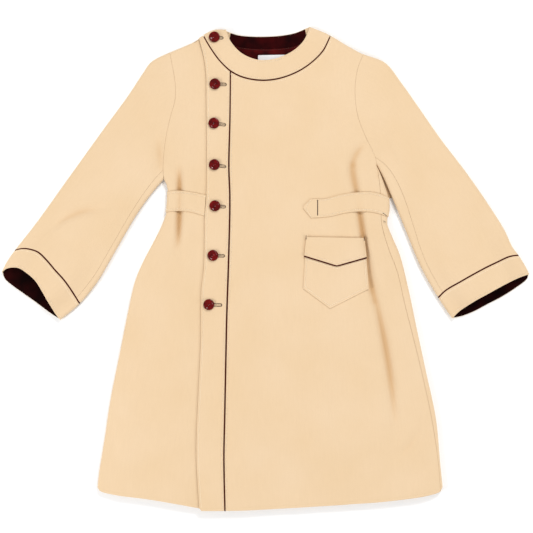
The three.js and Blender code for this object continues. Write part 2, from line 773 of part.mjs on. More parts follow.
function backGrid() {
  const backTop = (u) => {
    const left = stretch(shoulderLeft, 0, bandEndLeft);
    const right = stretch(shoulderRight, bandEndRight, 1);
    if (u <= BACK_BAND.from) return left(u / BACK_BAND.from);
    if (u >= BACK_BAND.to) return right((u - BACK_BAND.to) / (1 - BACK_BAND.to));
    return curveOf(NECK_SEAM_BACK)((u - BACK_BAND.from) / (BACK_BAND.to - BACK_BAND.from));
  };
  const shape = patch(edgeLeft, edgeRight, hem, backTop);
  const us = [0, 0.003, 0.012, 0.04, ...BACK_COLUMNS, 0.96, 0.986, 0.996];
  const bandInset = (u) => (u > BACK_BAND.from - 1e-6 && u < BACK_BAND.to + 1e-6 ? SEAM / 2 : 0);
  return frames(shape, us, ROWS, -1, { left: halfSeam, right: halfSeam, top: bandInset });
}

// The strip of the back that comes round the right fold to the side seam. Above the underarm
// there is no such strip, and its columns close up to the armhole.
const TURN_STEPS = [0, 0.12, 0.45, 1];
function backTurn(v) {
  const edge = edgeRight(v);
  const seam = seamRight(v);
  const width = Math.max(edge.distanceTo(seam) - SEAM / 2, 0);
  const inward = seam.clone().sub(edge).normalize();
  if (v > UNDERARM * 0.99) {
    return TURN_STEPS.map((s) => {
      const p = edge.clone();
      p.x -= SEAM / 2 + 0.5 * (1 - s);
      return frame(p.x, p.y, -1);
    });
  }
  return TURN_STEPS.map((s) => {
    const p = edge.clone().addScaledVector(inward, s * width);
    return frame(p.x, p.y, s === 0 ? -1 : 1);
  });
}
const BACK_BAND = { from: 0.19, to: 0.82 };
const BACK_BAND_STEPS = [0, 0.015, 0.06, 0.14, 0.25, 0.38, 0.5, 0.62, 0.75, 0.86, 0.94, 0.985, 1];
const BACK_COLUMNS = [
  0.11,
  ...BACK_BAND_STEPS.map((s) => BACK_BAND.from + s * (BACK_BAND.to - BACK_BAND.from)),
  0.9,
];

function frontSideGrid() {
  const topEnd = shareAt(shoulderLeft, UNDERLAP_EDGE[UNDERLAP_EDGE.length - 1]);
  const hemEnd = shareAt(hem, FRONT_SIDE_HEM_END);
  const shape = patch(
    edgeLeft,
    paced(endingOn(shoulderLeft, UNDERLAP_EDGE)),
    stretch(hem, 0, hemEnd),
    stretch(shoulderLeft, 0, topEnd),
  );
  const us = [0, 0.012, 0.05, 0.14, 0.27, 0.4, 0.54, 0.67, 0.76, 0.84, 0.92, 1];
  const grid = frames(shape, us, ROWS, 1, { left: halfSeam });
  return grid.map((row) => row.map(({ point, normal }) => movedOut({ point, normal }, -sinkAt(point))));
}
const SINK_FROM = -154;
const SINK_TO = -138;
const BAND_SINK = 1.3; // further sink beneath the end of the neck band
const sinkAt = ({ x, y }) => {
  const beneathStrip = smooth(x, SINK_FROM, SINK_TO);
  return beneathStrip * (UNDERLAP_SINK + BAND_SINK * smooth(y, 425, 455));
};

// The main front's top edge follows the neck seam, then the shoulder.
const MAIN_NECK = 0.74;
const mainSteps = NECK_STEPS.map((s) => s * MAIN_NECK);

function frontMainGrid() {
  const neckPart = stretch(neckSeam, closingJoint, 1);
  const shoulderPart = stretch(shoulderRight, bandEndRight, 1);
  const shape = patch(
    closingSeam,
    seamRight,
    stretch(hem, shareAt(hem, CLOSING_SEAM[0]), shareAt(hem, SIDE_SEAM_RIGHT[0])),
    chain(neckPart, shoulderPart, MAIN_NECK),
  );
  const us = [...mainSteps, 0.82, 0.9, 0.96, 0.988, 1];
  const insets = {
    left: PIPING_GAP,
    right: SEAM / 2,
    top: (u) => (u < MAIN_NECK + 1e-6 ? NECK_GAP : 0),
  };
  return lifted(frames(shape, us, ROWS, 1, insets));
}

function placket() {
  const freeTop = shareAt(shoulderLeft, STRIP_FREE_EDGE[STRIP_FREE_EDGE.length - 1]);
  const shoulderBit = stretch(shoulderLeft, freeTop, bandEndLeft);
  const joint = 0.13;
  const shape = patch(
    paced(endingOn(shoulderLeft, STRIP_FREE_EDGE)),
    closingSeam,
    straight(STRIP_HEM),
    chain(shoulderBit, stretch(neckSeam, 0, closingJoint), joint),
  );
  const us = [0, joint, 0.34, 0.56, 0.78, 1];
  const insets = { right: PIPING_GAP, top: (u) => (u > joint - 1e-6 ? NECK_GAP : 0) };
  return wall("placket", lifted(frames(shape, us, ROWS, 1, insets)), { thick: BAND });
}

// Neck pieces
const bandSteps = [
  ...CLOSING_STEPS.map((s) => s * closingJoint),
  ...NECK_STEPS.map((s) => closingJoint + s * (1 - closingJoint)),
];

function neckBandFront() {
  const leftEnd = stretch(shoulderLeft, bandEndLeft, 1);
  const rightEnd = (s) => stretch(shoulderRight, 0, bandEndRight)(1 - s);
  const shape = patch(leftEnd, rightEnd, neckSeam, curveOf(NECK_EDGE_FRONT));
  const grid = frames(shape, bandSteps, [0, 0.35, 0.7, 1], 1, { bottom: PIPING_GAP });
  return wall("neck_band_front", lifted(grid), { thick: BAND });
}

function neckBandBack() {
  const leftEnd = stretch(shoulderLeft, bandEndLeft, 1);
  const rightEnd = (s) => stretch(shoulderRight, 0, bandEndRight)(1 - s);
  const shape = patch(leftEnd, rightEnd, curveOf(NECK_SEAM_BACK), curveOf(NECK_EDGE_BACK));
  const grid = frames(shape, BACK_BAND_STEPS, [0, 0.35, 0.7, 0.94, 1], -1, { bottom: SEAM / 2 });
  return wall("neck_band_back", grid);
}

const LINING_OUT = -(CLOTH + SEAM);

function neckFacing() {
  const top = NECK_EDGE_BACK;
  const ends = [
    [FACING_LOWER[0], top[0]],
    [FACING_LOWER[FACING_LOWER.length - 1], top[top.length - 1]],
  ];
  const shape = patch(straight(ends[0]), straight(ends[1]), curveOf(FACING_LOWER), curveOf(top));
  const us = [0, 0.14, 0.3, 0.5, 0.7, 0.86, 1];
  const grid = frames(shape, us, [0, 0.4, 0.8, 1], -1, { left: 10, right: 10, top: 4, bottom: SEAM / 2 });
  return wall("neck_facing", grid, { out: LINING_OUT, thick: LINING, colour: "facing" });
}

function liningBack() {
  const ends = [
    [LINING_LOWER[0], FACING_LOWER[0]],
    [LINING_LOWER[LINING_LOWER.length - 1], FACING_LOWER[FACING_LOWER.length - 1]],
  ];
  const shape = patch(straight(ends[0]), straight(ends[1]), curveOf(LINING_LOWER), curveOf(FACING_LOWER));
  const us = [0, 0.14, 0.3, 0.5, 0.7, 0.86, 1];
  const grid = frames(shape, us, [0, 0.35, 0.7, 1], -1, { left: 10, right: 10, top: SEAM / 2 });
  return wall("lining_back", grid, { out: LINING_OUT, thick: LINING, colour: "lining" });
}

function label() {
  const { left, right, low, high, tilt } = LABEL_PLACE;
  const side = (x, lean) =>
    straight([
      { x, y: low + lean },
      { x, y: high + lean },
    ]);
  const level = (y) =>
    straight([
      { x: left, y },
      { x: right, y: y + tilt },
    ]);
  const shape = patch(side(left, 0), side(right, tilt), level(low), level(high));
  const grid = frames(shape, [0, 0.5, 1], [0, 1], -1);
  return wall("label", grid, { out: LINING_OUT - LINING - SEAM, thick: LABEL, colour: "label" });
}

// Sleeves and cuffs. Their columns go round from the front seam over the outer edge to the seam
// on the under face, or the other way round under the lower edge.
const sleeves = {
  left: {
    outer: between(outerLeft, named(OUTER_LEFT, "armhole"), named(OUTER_LEFT, "cuff seam")),
    lower: between(lowerLeft, named(LOWER_LEFT, "underarm"), named(LOWER_LEFT, "cuff seam")),
    cuffOuter: between(outerLeft, named(OUTER_LEFT, "cuff seam"), named(OUTER_LEFT, "cuff corner")),
    cuffLower: between(lowerLeft, named(LOWER_LEFT, "cuff seam"), named(LOWER_LEFT, "cuff corner")),
    armhole: armholeLeft,
    fan: new THREE.Vector2(0, 0),
    seams: { 1: curveOf(CUFF_SEAM_TOP_LEFT), [-1]: curveOf(CUFF_SEAM_UNDER_LEFT) },
    edges: { 1: curveOf(CUFF_EDGE_TOP_LEFT), [-1]: curveOf(CUFF_EDGE_UNDER_LEFT) },
  },
  right: {
    outer: between(outerRight, named(OUTER_RIGHT, "armhole"), named(OUTER_RIGHT, "cuff seam")),
    lower: between(lowerRight, named(LOWER_RIGHT, "underarm"), named(LOWER_RIGHT, "cuff seam")),
    cuffOuter: between(outerRight, named(OUTER_RIGHT, "cuff seam"), named(OUTER_RIGHT, "cuff corner")),
    cuffLower: between(lowerRight, named(LOWER_RIGHT, "cuff seam"), named(LOWER_RIGHT, "cuff corner")),
    armhole: armholeRight,
    fan: new THREE.Vector2(170, 60),
    seams: { 1: curveOf(CUFF_SEAM_TOP_RIGHT), [-1]: curveOf(CUFF_SEAM_UNDER_RIGHT) },
    edges: { 1: curveOf(CUFF_EDGE_TOP_RIGHT), [-1]: curveOf(CUFF_EDGE_UNDER_RIGHT) },
  },
};

// Sleeve and cuff patches have u across from the outer edge and v along, down to the cuff. Where a
// sleeve hangs in line with its armhole, its lines are bent out at the underarm to fan apart.
const FAN_SHARE = 0.1;
function sleevePatch(sleeve, side) {
  const plain = patch(sleeve.outer, sleeve.lower, (q) => sleeve.armhole(1 - q), sleeve.seams[side]);
  return (u, v) => {
    const share = smooth(1 - u, 0, FAN_SHARE) * smooth(u, 0, 0.6);
    return plain(u, v).addScaledVector(sleeve.fan, share * v * (1 - v) ** 3);
  };
}
function cuffPatch(sleeve, side) {
  return patch(sleeve.cuffOuter, sleeve.cuffLower, sleeve.seams[side], sleeve.edges[side]);
}

const across = (from, to) => [from, ...ARM_STEPS.filter((q) => q > from + 0.02 && q < to - 0.02), to];
const topAcross = [...ARM_STEPS.filter((q) => q < SLEEVE_SEAM - 0.02), SLEEVE_SEAM];
const lowerAcross = [SLEEVE_SEAM, 0.965, 0.99];
const underFromOuter = [0, 0.01, 0.035, 0.1, HIDDEN_SEAM];
const underToLower = [...across(HIDDEN_SEAM, 0.9), 0.965, 0.99, 1];

// One ring of cloth from seam to seam, as grids of both faces put side by side
function ringGrid(shapes, us, vs, insets) {
  const faces = us.map(({ side, shares }) => frames(shapes[side], shares, vs, side, insets));
  return beside(...faces);
}

function sleevePieces(hand) {
  const sleeve = sleeves[hand];
  const shapes = { 1: sleevePatch(sleeve, 1), [-1]: sleevePatch(sleeve, -1) };
  const seamEnd = { bottom: SEAM / 2, top: PIPING_GAP };
  const half = 0.001; // half of the seam's gap as a share of the sleeve's width
  const overTop = [
    { side: 1, shares: [...topAcross].reverse().map((q) => Math.min(q, SLEEVE_SEAM - half)).slice(0, -1) },
    { side: -1, shares: underFromOuter.map((q) => Math.min(q, HIDDEN_SEAM - half)) },
  ];
  const beneath = [
    { side: -1, shares: underToLower.map((q) => Math.max(q, HIDDEN_SEAM + half)) },
    { side: 1, shares: [...lowerAcross].reverse().map((q) => Math.max(q, SLEEVE_SEAM + half)) },
  ];
  return [
    wall(`sleeve_top_${hand}`, ringGrid(shapes, overTop, SLEEVE_STEPS, seamEnd)),
    wall(`sleeve_under_${hand}`, ringGrid(shapes, beneath, SLEEVE_STEPS, seamEnd)),
  ];
}

const ringAcross = [
  { side: -1, shares: [HIDDEN_SEAM + 0.002, ...underToLower.slice(1)] },
  { side: 1, shares: ARM_STEPS.slice(1, -1).reverse() },
  { side: -1, shares: [...underFromOuter.slice(0, -1), HIDDEN_SEAM - 0.002] },
];

function cuffPieces(hand) {
  const sleeve = sleeves[hand];
  const shapes = { 1: cuffPatch(sleeve, 1), [-1]: cuffPatch(sleeve, -1) };
  const cuffGrid = ringGrid(shapes, ringAcross, [0, 0.33, 0.67, 1], { bottom: PIPING_GAP });
  const liningGrid = ringGrid(shapes, ringAcross, [0.15, 0.55, 0.93], {});
  const seamLine = ringGrid(shapes, ringAcross, [0], {})[0];
  return [
    wall(`cuff_${hand}`, cuffGrid),
    wall(`lining_cuff_${hand}`, liningGrid, { out: LINING_OUT, thick: LINING, colour: "lining" }),
    piping(`piping_cuff_${hand}`, seamLine, PIPING_RADIUS + 0.05),
  ];
}

// A piece that lies on a panel: the panel's own points moved out, cut to the piece's outline.
function solidOf(mesh) {
  const bare = new THREE.BufferGeometry().setAttribute("position", mesh.geometry.getAttribute("position"));
  if (mesh.geometry.index) bare.setIndex(mesh.geometry.index);
  const merged = mergeVertices(bare, 1e-4);
  return new wasm.Manifold(
    new wasm.Mesh({
      numProp: 3,
      vertProperties: merged.attributes.position.array,
      triVerts: new Uint32Array(merged.index.array),
    }),
  );
}

const TALL = 80; // higher than anything that is cut
function onPanel(name, grid, outline, { out, thick = BAND, colour = "wool" }) {
  const slab = solidOf(wall("slab", grid, { out, thick }));
  const raised = { depth: TALL, bevelEnabled: false };
  const upright = new THREE.ExtrudeGeometry(new THREE.Shape(outline), raised);
  upright.deleteAttribute("normal");
  upright.deleteAttribute("uv");
  upright.translate(0, 0, -TALL / 2);
  const cut = slab.intersect(solidOf({ geometry: upright })).getMesh();
  const points = Array.from({ length: cut.numVert }, (_, i) =>
    Array.from(cut.vertProperties.subarray(i * cut.numProp, i * cut.numProp + 3)),
  );
  const faces = Array.from({ length: cut.numTri }, (_, i) => [...cut.triVerts.subarray(3 * i, 3 * i + 3)]);
  return solid(name, points, faces, colour);
}

// Outline from edges that are walked one after the other
function outlineOf(...edges) {
  const steps = [0, 0.125, 0.25, 0.375, 0.5, 0.625, 0.75, 0.875];
  return edges.flatMap((edge) => (Array.isArray(edge) ? edge.map(plan) : steps.map((s) => edge(s))));
}

// Rows of a grid that reach into a band of heights, with one more on either side
function rowsNear(grid, low, high) {
  const within = (row) => row.some(({ point }) => point.y > low - 40 && point.y < high + 40);
  return grid.filter(within);
}

function beltPieces(grids) {
  const belt = { out: SEAM + BAND };
  const { tip, bottom, top } = BELT_RIGHT;
  const low = 95;
  const high = 160;
  const leftOutline = outlineOf(curveOf(BELT_LEFT.bottom), [...BELT_LEFT.top].reverse());
  const rightOutline = outlineOf(curveOf(bottom), [...top].reverse(), [...tip].reverse());
  const backOutline = outlineOf([...BELT_BACK.bottom, ...BELT_BACK.top]);
  const aroundRight = beside(grids.main, grids.turned.map((row) => [...row].reverse().slice(0, -1)));
  const acrossBack = beside(grids.back, grids.turned.map((row) => row.slice(0, 1)));
  return [
    onPanel("belt_left", rowsNear(grids.side, low, high), leftOutline, belt),
    onPanel("belt_right", rowsNear(aroundRight, low, high), rightOutline, { out: belt.out + 0.2 }),
    onPanel("belt_back", rowsNear(acrossBack, low, high), backOutline, belt),
  ];
}

function pocketPieces(grids) {
  const p = POCKET;
  const onMain = rowsNear(grids.main, p.tip.y, p.topLeft.y);
  const bag = [p.left, p.tip, p.right, p.topRight, p.topLeft].map(plan);
  const flap = [p.flapLeft, p.flapTip, p.flapRight, p.topRight, p.topLeft].map(plan);
  const flapOut = 2 * (SEAM + BAND);
  return [
    onPanel("pocket", onMain, bag, { out: SEAM + BAND }),
    onPanel("pocket_flap", onMain, flap, { out: flapOut }),
    piping("piping_flap", flapLine(), -(SEAM + BAND + FLAP_PIPING_LIFT + PIPING_RADIUS)),
  ];
}

// The piping runs just below the flap's pointed edge.
function flapLine() {
  const { flapLeft, flapTip, flapRight } = POCKET;
  const drop = (a, b) => {
    const along = plan(b).sub(plan(a)).normalize();
    return new THREE.Vector2(along.y, -along.x).multiplyScalar(PIPING_GAP);
  };
  const left = drop(flapLeft, flapTip);
  const right = drop(flapTip, flapRight);
  const steps = [0, 0.3, 0.6, 0.85];
  const places = [
    ...steps.map((t) => plan(flapLeft).lerp(plan(flapTip), t).add(left)),
    plan(flapTip).add(left.clone().add(right).multiplyScalar(0.5)),
    ...steps.map((t) => plan(flapRight).lerp(plan(flapTip), t).add(right)).reverse(),
  ];
  return places.map((place) => frame(place.x, place.y, 1));
}

function button(name, place) {
  const { radius, rim, dish, foot, dimple, sides } = BUTTON;
  const profile = [
    [0, 0],
    [foot, 0],
    [radius, 1.4],
    [radius, rim - 1],
    [radius - 1.1, rim],
    [radius - 2.6, rim - 0.2],
    [radius - 4.4, dish],
    [dimple, dish - 0.3],
    [0, dish - 0.9],
  ].map(([r, z]) => new THREE.Vector2(r, z));
  const geometry = new THREE.LatheGeometry(profile, sides);
  const mesh = new THREE.Mesh(geometry, new THREE.MeshStandardMaterial(COLOURS.button));
  const { point, normal } = frame(place.x, place.y, 1);
  mesh.position.copy(point).addScaledVector(normal, lapAt(place.x) + BUTTON_GAP);
  mesh.quaternion.setFromUnitVectors(new THREE.Vector3(0, 1, 0), normal);
  mesh.name = name;
  return mesh;
}
const BUTTON_GAP = 0.4;

// The pipings of the closing and the neck end a little short of the seams that they run into.
const CLOSING_PIPING_END = 0.994;
const NECK_PIPING = { from: 0.012, to: 0.983 };
function longPipings() {
  const along = (edge, shares) =>
    shares.map((s) => {
      const p = edge(s);
      return frame(p.x, p.y, 1);
    });
  const { from, to } = NECK_PIPING;
  const closingShares = [...ROWS.filter((s) => s < CLOSING_PIPING_END - 0.003), CLOSING_PIPING_END];
  const closing = along(closingSeam, closingShares);
  const neck = along(neckSeam, [from, ...bandSteps.filter((s) => s > from + 0.003 && s < to - 0.003), to]);
  return [piping("piping_placket", lifted([closing])[0]), piping("piping_neck", lifted([neck])[0])];
}

const coat = new THREE.Group();
coat.name = "wool_coat";
const grids = {
  back: backGrid(),
  turned: ROWS.map((v) => backTurn(v)),
  side: frontSideGrid(),
  main: frontMainGrid(),
};
coat.add(wall("back", beside(grids.back, grids.turned)));
coat.add(wall("front_side", grids.side), wall("front_main", grids.main), placket());
coat.add(neckBandFront(), neckBandBack(), neckFacing(), liningBack(), label());
coat.add(...sleevePieces("left"), ...sleevePieces("right"));
coat.add(...cuffPieces("left"), ...cuffPieces("right"));
coat.add(...beltPieces(grids), ...pocketPieces(grids), ...longPipings());
BUTTONS.forEach((place, i) => coat.add(button(`button_${i + 1}`, place)));

export default coat;
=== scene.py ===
"""Cream wool coat laid flat on its back: cloth, sewing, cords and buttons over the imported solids.

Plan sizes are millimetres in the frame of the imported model: X to the right, Y towards the neck and Z
up from the surface that the coat lies on. Meshes are written in metres.
"""

from __future__ import annotations

import logging
import math
import sys
from collections.abc import Callable, Sequence
from dataclasses import dataclass, field
from enum import Enum
from functools import partial
from typing import NamedTuple

import bpy
import numpy as np
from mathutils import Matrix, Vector

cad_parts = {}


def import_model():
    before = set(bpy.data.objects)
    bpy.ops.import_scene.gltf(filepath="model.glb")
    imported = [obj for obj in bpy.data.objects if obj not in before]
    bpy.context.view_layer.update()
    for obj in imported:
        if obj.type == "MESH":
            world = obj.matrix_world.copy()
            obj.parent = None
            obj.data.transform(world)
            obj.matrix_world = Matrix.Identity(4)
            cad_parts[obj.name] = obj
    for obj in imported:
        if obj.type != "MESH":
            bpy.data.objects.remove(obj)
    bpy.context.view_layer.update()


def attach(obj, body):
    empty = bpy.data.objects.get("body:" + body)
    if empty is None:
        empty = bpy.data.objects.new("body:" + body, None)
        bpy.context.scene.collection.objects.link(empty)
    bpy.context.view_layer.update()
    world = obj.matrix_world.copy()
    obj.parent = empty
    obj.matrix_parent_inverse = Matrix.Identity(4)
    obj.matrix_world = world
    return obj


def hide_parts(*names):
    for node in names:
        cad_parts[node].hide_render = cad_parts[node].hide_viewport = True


LOG = logging.getLogger("coat")
MM = 0.001
BODY = "root"
FAR = 99.0  # distance to a border that is nowhere near
LEAST_AREA = 0.31  # least share of its flat rectangle that a piece of cloth is given
CORD_SINK = 0.6  # how deep the middle of a body cord lies beneath the face
CUFF_CORD_SINK = 0.85

Frames = tuple[np.ndarray, np.ndarray]
Triple = tuple[float, float, float]
Socket = bpy.types.NodeSocket


class Row(NamedTuple):
    """A place in plan that an edge passes through."""

    x: float
    y: float
    at: str = ""


class Crease(NamedTuple):
    """A soft trough: start, bend and end in plan, with its depth and half width."""

    x0: float
    y0: float
    xm: float
    ym: float
    x1: float
    y1: float
    depth: float
    half: float


class Face(Enum):
    """The two faces of the flat coat."""

    FRONT = 1
    BACK = -1


class Hand(Enum):
    """The viewer's left and right."""

    LEFT = "left"
    RIGHT = "right"


class Lay(Enum):
    """How a stitch lies on its line."""

    ALONG = False
    ACROSS = True


# Folded edges, counter-clockwise round the coat, then its open edges and seams
OUTER_LEFT = (
    Row(-79, 476, "neck corner"), Row(-103, 475), Row(-125, 465, "band end"), Row(-152, 449),
    Row(-192, 432, "armhole"), Row(-229, 413), Row(-246, 390), Row(-275, 346), Row(-324, 279),
    Row(-393, 183), Row(-462, 87), Row(-502, 36, "cuff seam"), Row(-518, 13),
    Row(-529, -8, "cuff corner"),
)
LOWER_LEFT = (
    Row(-411, -104, "cuff corner"), Row(-372, -71, "cuff seam"), Row(-335, -25), Row(-311, 16),
    Row(-271, 86), Row(-253, 115), Row(-230, 147), Row(-204, 178, "underarm"),
)
SIDE_LEFT = (
    Row(-204, 178, "underarm"), Row(-198, 164), Row(-196, 142), Row(-199, 112), Row(-209, 84),
    Row(-226, 50), Row(-244, 16), Row(-261, -24), Row(-275, -84), Row(-291, -164), Row(-311, -264),
    Row(-323, -344), Row(-333, -405), Row(-337, -439),
)
SIDE_RIGHT = (
    Row(355, -439), Row(350, -390), Row(342, -304), Row(321, -204), Row(303, -120), Row(287, -44),
    Row(269, 27), Row(253, 65), Row(244, 90), Row(247, 116), Row(246, 142), Row(240, 162),
    Row(233, 182), Row(223, 206, "underarm"),
)
LOWER_RIGHT = (
    Row(223, 206, "underarm"), Row(237, 180), Row(253, 143), Row(280, 78), Row(311, 3),
    Row(346, -59, "cuff seam"), Row(374, -101, "cuff corner"),
)
OUTER_RIGHT = (
    Row(529, -12, "cuff corner"), Row(519, 7), Row(507, 26, "cuff seam"), Row(495, 42), Row(479, 76),
    Row(441, 136), Row(399, 196), Row(353, 256), Row(309, 319), Row(273, 370), Row(240, 411),
    Row(196, 429, "armhole"), Row(161, 448), Row(131, 466, "band end"), Row(88, 484, "neck corner"),
)
HEM = (
    Row(-337, -439), Row(-330, -447), Row(-296, -455), Row(-237, -463), Row(-170, -475),
    Row(-135, -482), Row(-110, -485), Row(-51, -485), Row(69, -479), Row(176, -472), Row(240, -467),
    Row(321, -456), Row(349, -448), Row(355, -439),
)
STRIP_HEM = (
    Row(-132, -480), Row(-128, -485), Row(-81, -485),
)
SIDE_SEAM_RIGHT = (
    Row(350, -447), Row(345, -385), Row(333, -305), Row(310, -198), Row(278, -70), Row(263, -6),
    Row(247, 36), Row(232, 90), Row(231, 130), Row(228, 170), Row(223, 206, "underarm"),
)
ARMHOLE_LEFT = (
    Row(-204, 178, "underarm"), Row(-205, 209), Row(-199, 260), Row(-191, 298), Row(-181, 335),
    Row(-180, 364), Row(-185, 398), Row(-192, 432),
)
ARMHOLE_RIGHT = (
    Row(223, 206, "underarm"), Row(220, 220), Row(213, 236), Row(202, 258), Row(186, 298),
    Row(180, 330), Row(179, 362), Row(184, 397), Row(196, 429),
)
CLOSING_SEAM = (
    Row(-81, -485), Row(-83, -380), Row(-81, -282), Row(-77, -86), Row(-74, 0), Row(-71, 140),
    Row(-73, 202), Row(-71, 296), Row(-70, 393),
)
STRIP_FREE_EDGE = (
    Row(-132, -480), Row(-135, -438), Row(-138, -364), Row(-134, -252), Row(-129, -144), Row(-128, -44),
    Row(-123, 0), Row(-121, 106), Row(-118, 146), Row(-118, 330), Row(-119, 390), Row(-124, 425),
    Row(-133, 460),
)
UNDERLAP_EDGE = (
    Row(-92, -483), Row(-93, -380), Row(-88, -100), Row(-82, 140), Row(-82, 390), Row(-89, 478),
)
NECK_SEAM = (
    Row(-125, 465), Row(-110, 439), Row(-92, 414), Row(-70, 393, "closing seam"), Row(-49, 382),
    Row(-23, 376), Row(4, 375), Row(33, 380), Row(66, 393), Row(94, 412), Row(115, 434), Row(131, 466),
)
NECK_EDGE_FRONT = (
    Row(-79, 476), Row(-72, 457), Row(-59, 439), Row(-43, 426), Row(-15, 416), Row(13, 417),
    Row(38, 425), Row(59, 437), Row(75, 453), Row(84, 470), Row(88, 484),
)
NECK_EDGE_BACK = (
    Row(-79, 476), Row(-56, 468), Row(-28, 465), Row(8, 465), Row(33, 467), Row(59, 472), Row(88, 484),
)
NECK_SEAM_BACK = (
    Row(-125, 465), Row(-88, 439), Row(-45, 427), Row(5, 424), Row(55, 430), Row(98, 445),
    Row(131, 466),
)
FACING_LOWER = (
    Row(-84, 452), Row(-45, 442), Row(5, 439), Row(55, 444), Row(94, 458),
)
LINING_LOWER = (
    Row(-96, 402), Row(5, 382), Row(108, 404),
)
CUFF_SEAM_TOP_LEFT = (
    Row(-502, 36), Row(-485, 39), Row(-468, 37), Row(-452, 31), Row(-436, 16), Row(-419, -4),
    Row(-398, -28), Row(-372, -71),
)
CUFF_SEAM_UNDER_LEFT = (
    Row(-502, 36), Row(-470, 2), Row(-430, -35), Row(-372, -71),
)
CUFF_EDGE_TOP_LEFT = (
    Row(-529, -8), Row(-514, 0), Row(-493, 0), Row(-475, -10), Row(-458, -25), Row(-444, -47),
    Row(-430, -73), Row(-420, -92), Row(-411, -104),
)
CUFF_EDGE_UNDER_LEFT = (
    Row(-529, -8), Row(-523, -22), Row(-510, -34), Row(-485, -52), Row(-461, -69), Row(-433, -90),
    Row(-411, -104),
)
CUFF_SEAM_TOP_RIGHT = (
    Row(507, 26), Row(488, 23), Row(464, 13), Row(433, -2), Row(392, -25), Row(360, -45), Row(346, -59),
)
CUFF_SEAM_UNDER_RIGHT = (
    Row(507, 26), Row(478, 0), Row(438, -26), Row(346, -59),
)
CUFF_EDGE_TOP_RIGHT = (
    Row(529, -12), Row(500, -22), Row(474, -34), Row(443, -51), Row(413, -68), Row(387, -87),
    Row(374, -101),
)
CUFF_EDGE_UNDER_RIGHT = (
    Row(529, -12), Row(525, -22), Row(505, -38), Row(474, -58), Row(445, -73), Row(419, -87),
    Row(396, -96), Row(374, -101),
)
CUFF_MOUTHS = (
    Row(-470, -42), Row(452, -54),
)
CREASES = (
    Crease(205, 250, 158, 228, 178, 150, 5.4, 8),
    Crease(176, 205, 192, 74, 216, -66, 9.0, 7.5),
    Crease(205, -10, 244, -130, 262, -338, 7.6, 8.5),
    Crease(310, -321, 294, -356, 262, -378, 2.8, 8),
    Crease(-174, 216, -170, 120, -177, 26, 9.4, 7),
    Crease(-313, 122, -386, 122, -432, 74, 4.4, 8),
    Crease(-216, 276, -213, 226, -206, 176, 4.8, 11),
    Crease(222, 285, 238, 240, 262, 210, 3.0, 10),
    Crease(225, 205, 222, 182, 232, 168, 4.5, 6),
)
BELT_BACK_MIDDLE = (
    Row(-198, 132), Row(0, 127), Row(247, 122),
)
BUTTONS = (
    Row(-102, 461), Row(-101, 367), Row(-103, 289), Row(-102, 206), Row(-101, 124), Row(-105, 25),
    Row(-113, -73),
)

# Finer creases that only the cloth shows
FINE_CREASES = (
    Crease(-172, 186, -170, 130, -173, 52, 1.8, 3.6),
    Crease(-318, 119, -380, 112, -428, 78, 1.4, 5.0),
    Crease(201, 247, 176, 236, 182, 168, 1.5, 5.5),
    Crease(192, 108, 204, 10, 234, -64, 1.5, 4.5),
    Crease(236, -70, 256, -180, 262, -318, 1.2, 6.0),
    Crease(310, -321, 290, -354, 267, -375, 0.9, 5.0),
    Crease(-37, 322, 66, 308, 185, 290, 1.8, 14.0),
    Crease(-190, 330, -160, 336, -136, 318, 1.0, 10.0),
    Crease(244, 152, 240, 130, 243, 96, 0.9, 4.0),
)

UNDERARM = 0.7  # share of a body panel's rows at which the side ends and the armhole begins
UNDERARM_LEVEL = 192.0
MAIN_NECK = 0.74  # share of the main front's top edge that is neck seam
STRIP_NECK = 0.13  # share of the closing strip's top edge that is shoulder
BACK_BAND = (0.19, 0.82)
SLEEVE_SEAM = 0.93
HIDDEN_SEAM = 0.2


def smooth(x: np.ndarray, low: float, high: float) -> np.ndarray:
    """Eased step from 0 at low to 1 at high."""
    t = np.clip((x - low) / (high - low), 0.0, 1.0)
    return t * t * (3.0 - 2.0 * t)


def smooth_slope(x: np.ndarray, low: float, high: float) -> np.ndarray:
    """Slope of the eased step."""
    t = np.clip((x - low) / (high - low), 0.0, 1.0)
    return 6.0 * t * (1.0 - t) / (high - low)


def offset(places: np.ndarray, right: float) -> np.ndarray:
    """A line in plan moved to the right of its direction."""
    along = np.gradient(places, axis=0)
    along /= np.linalg.norm(along, axis=1)[:, None]
    return places + np.stack([along[:, 1], -along[:, 0]], axis=1) * right


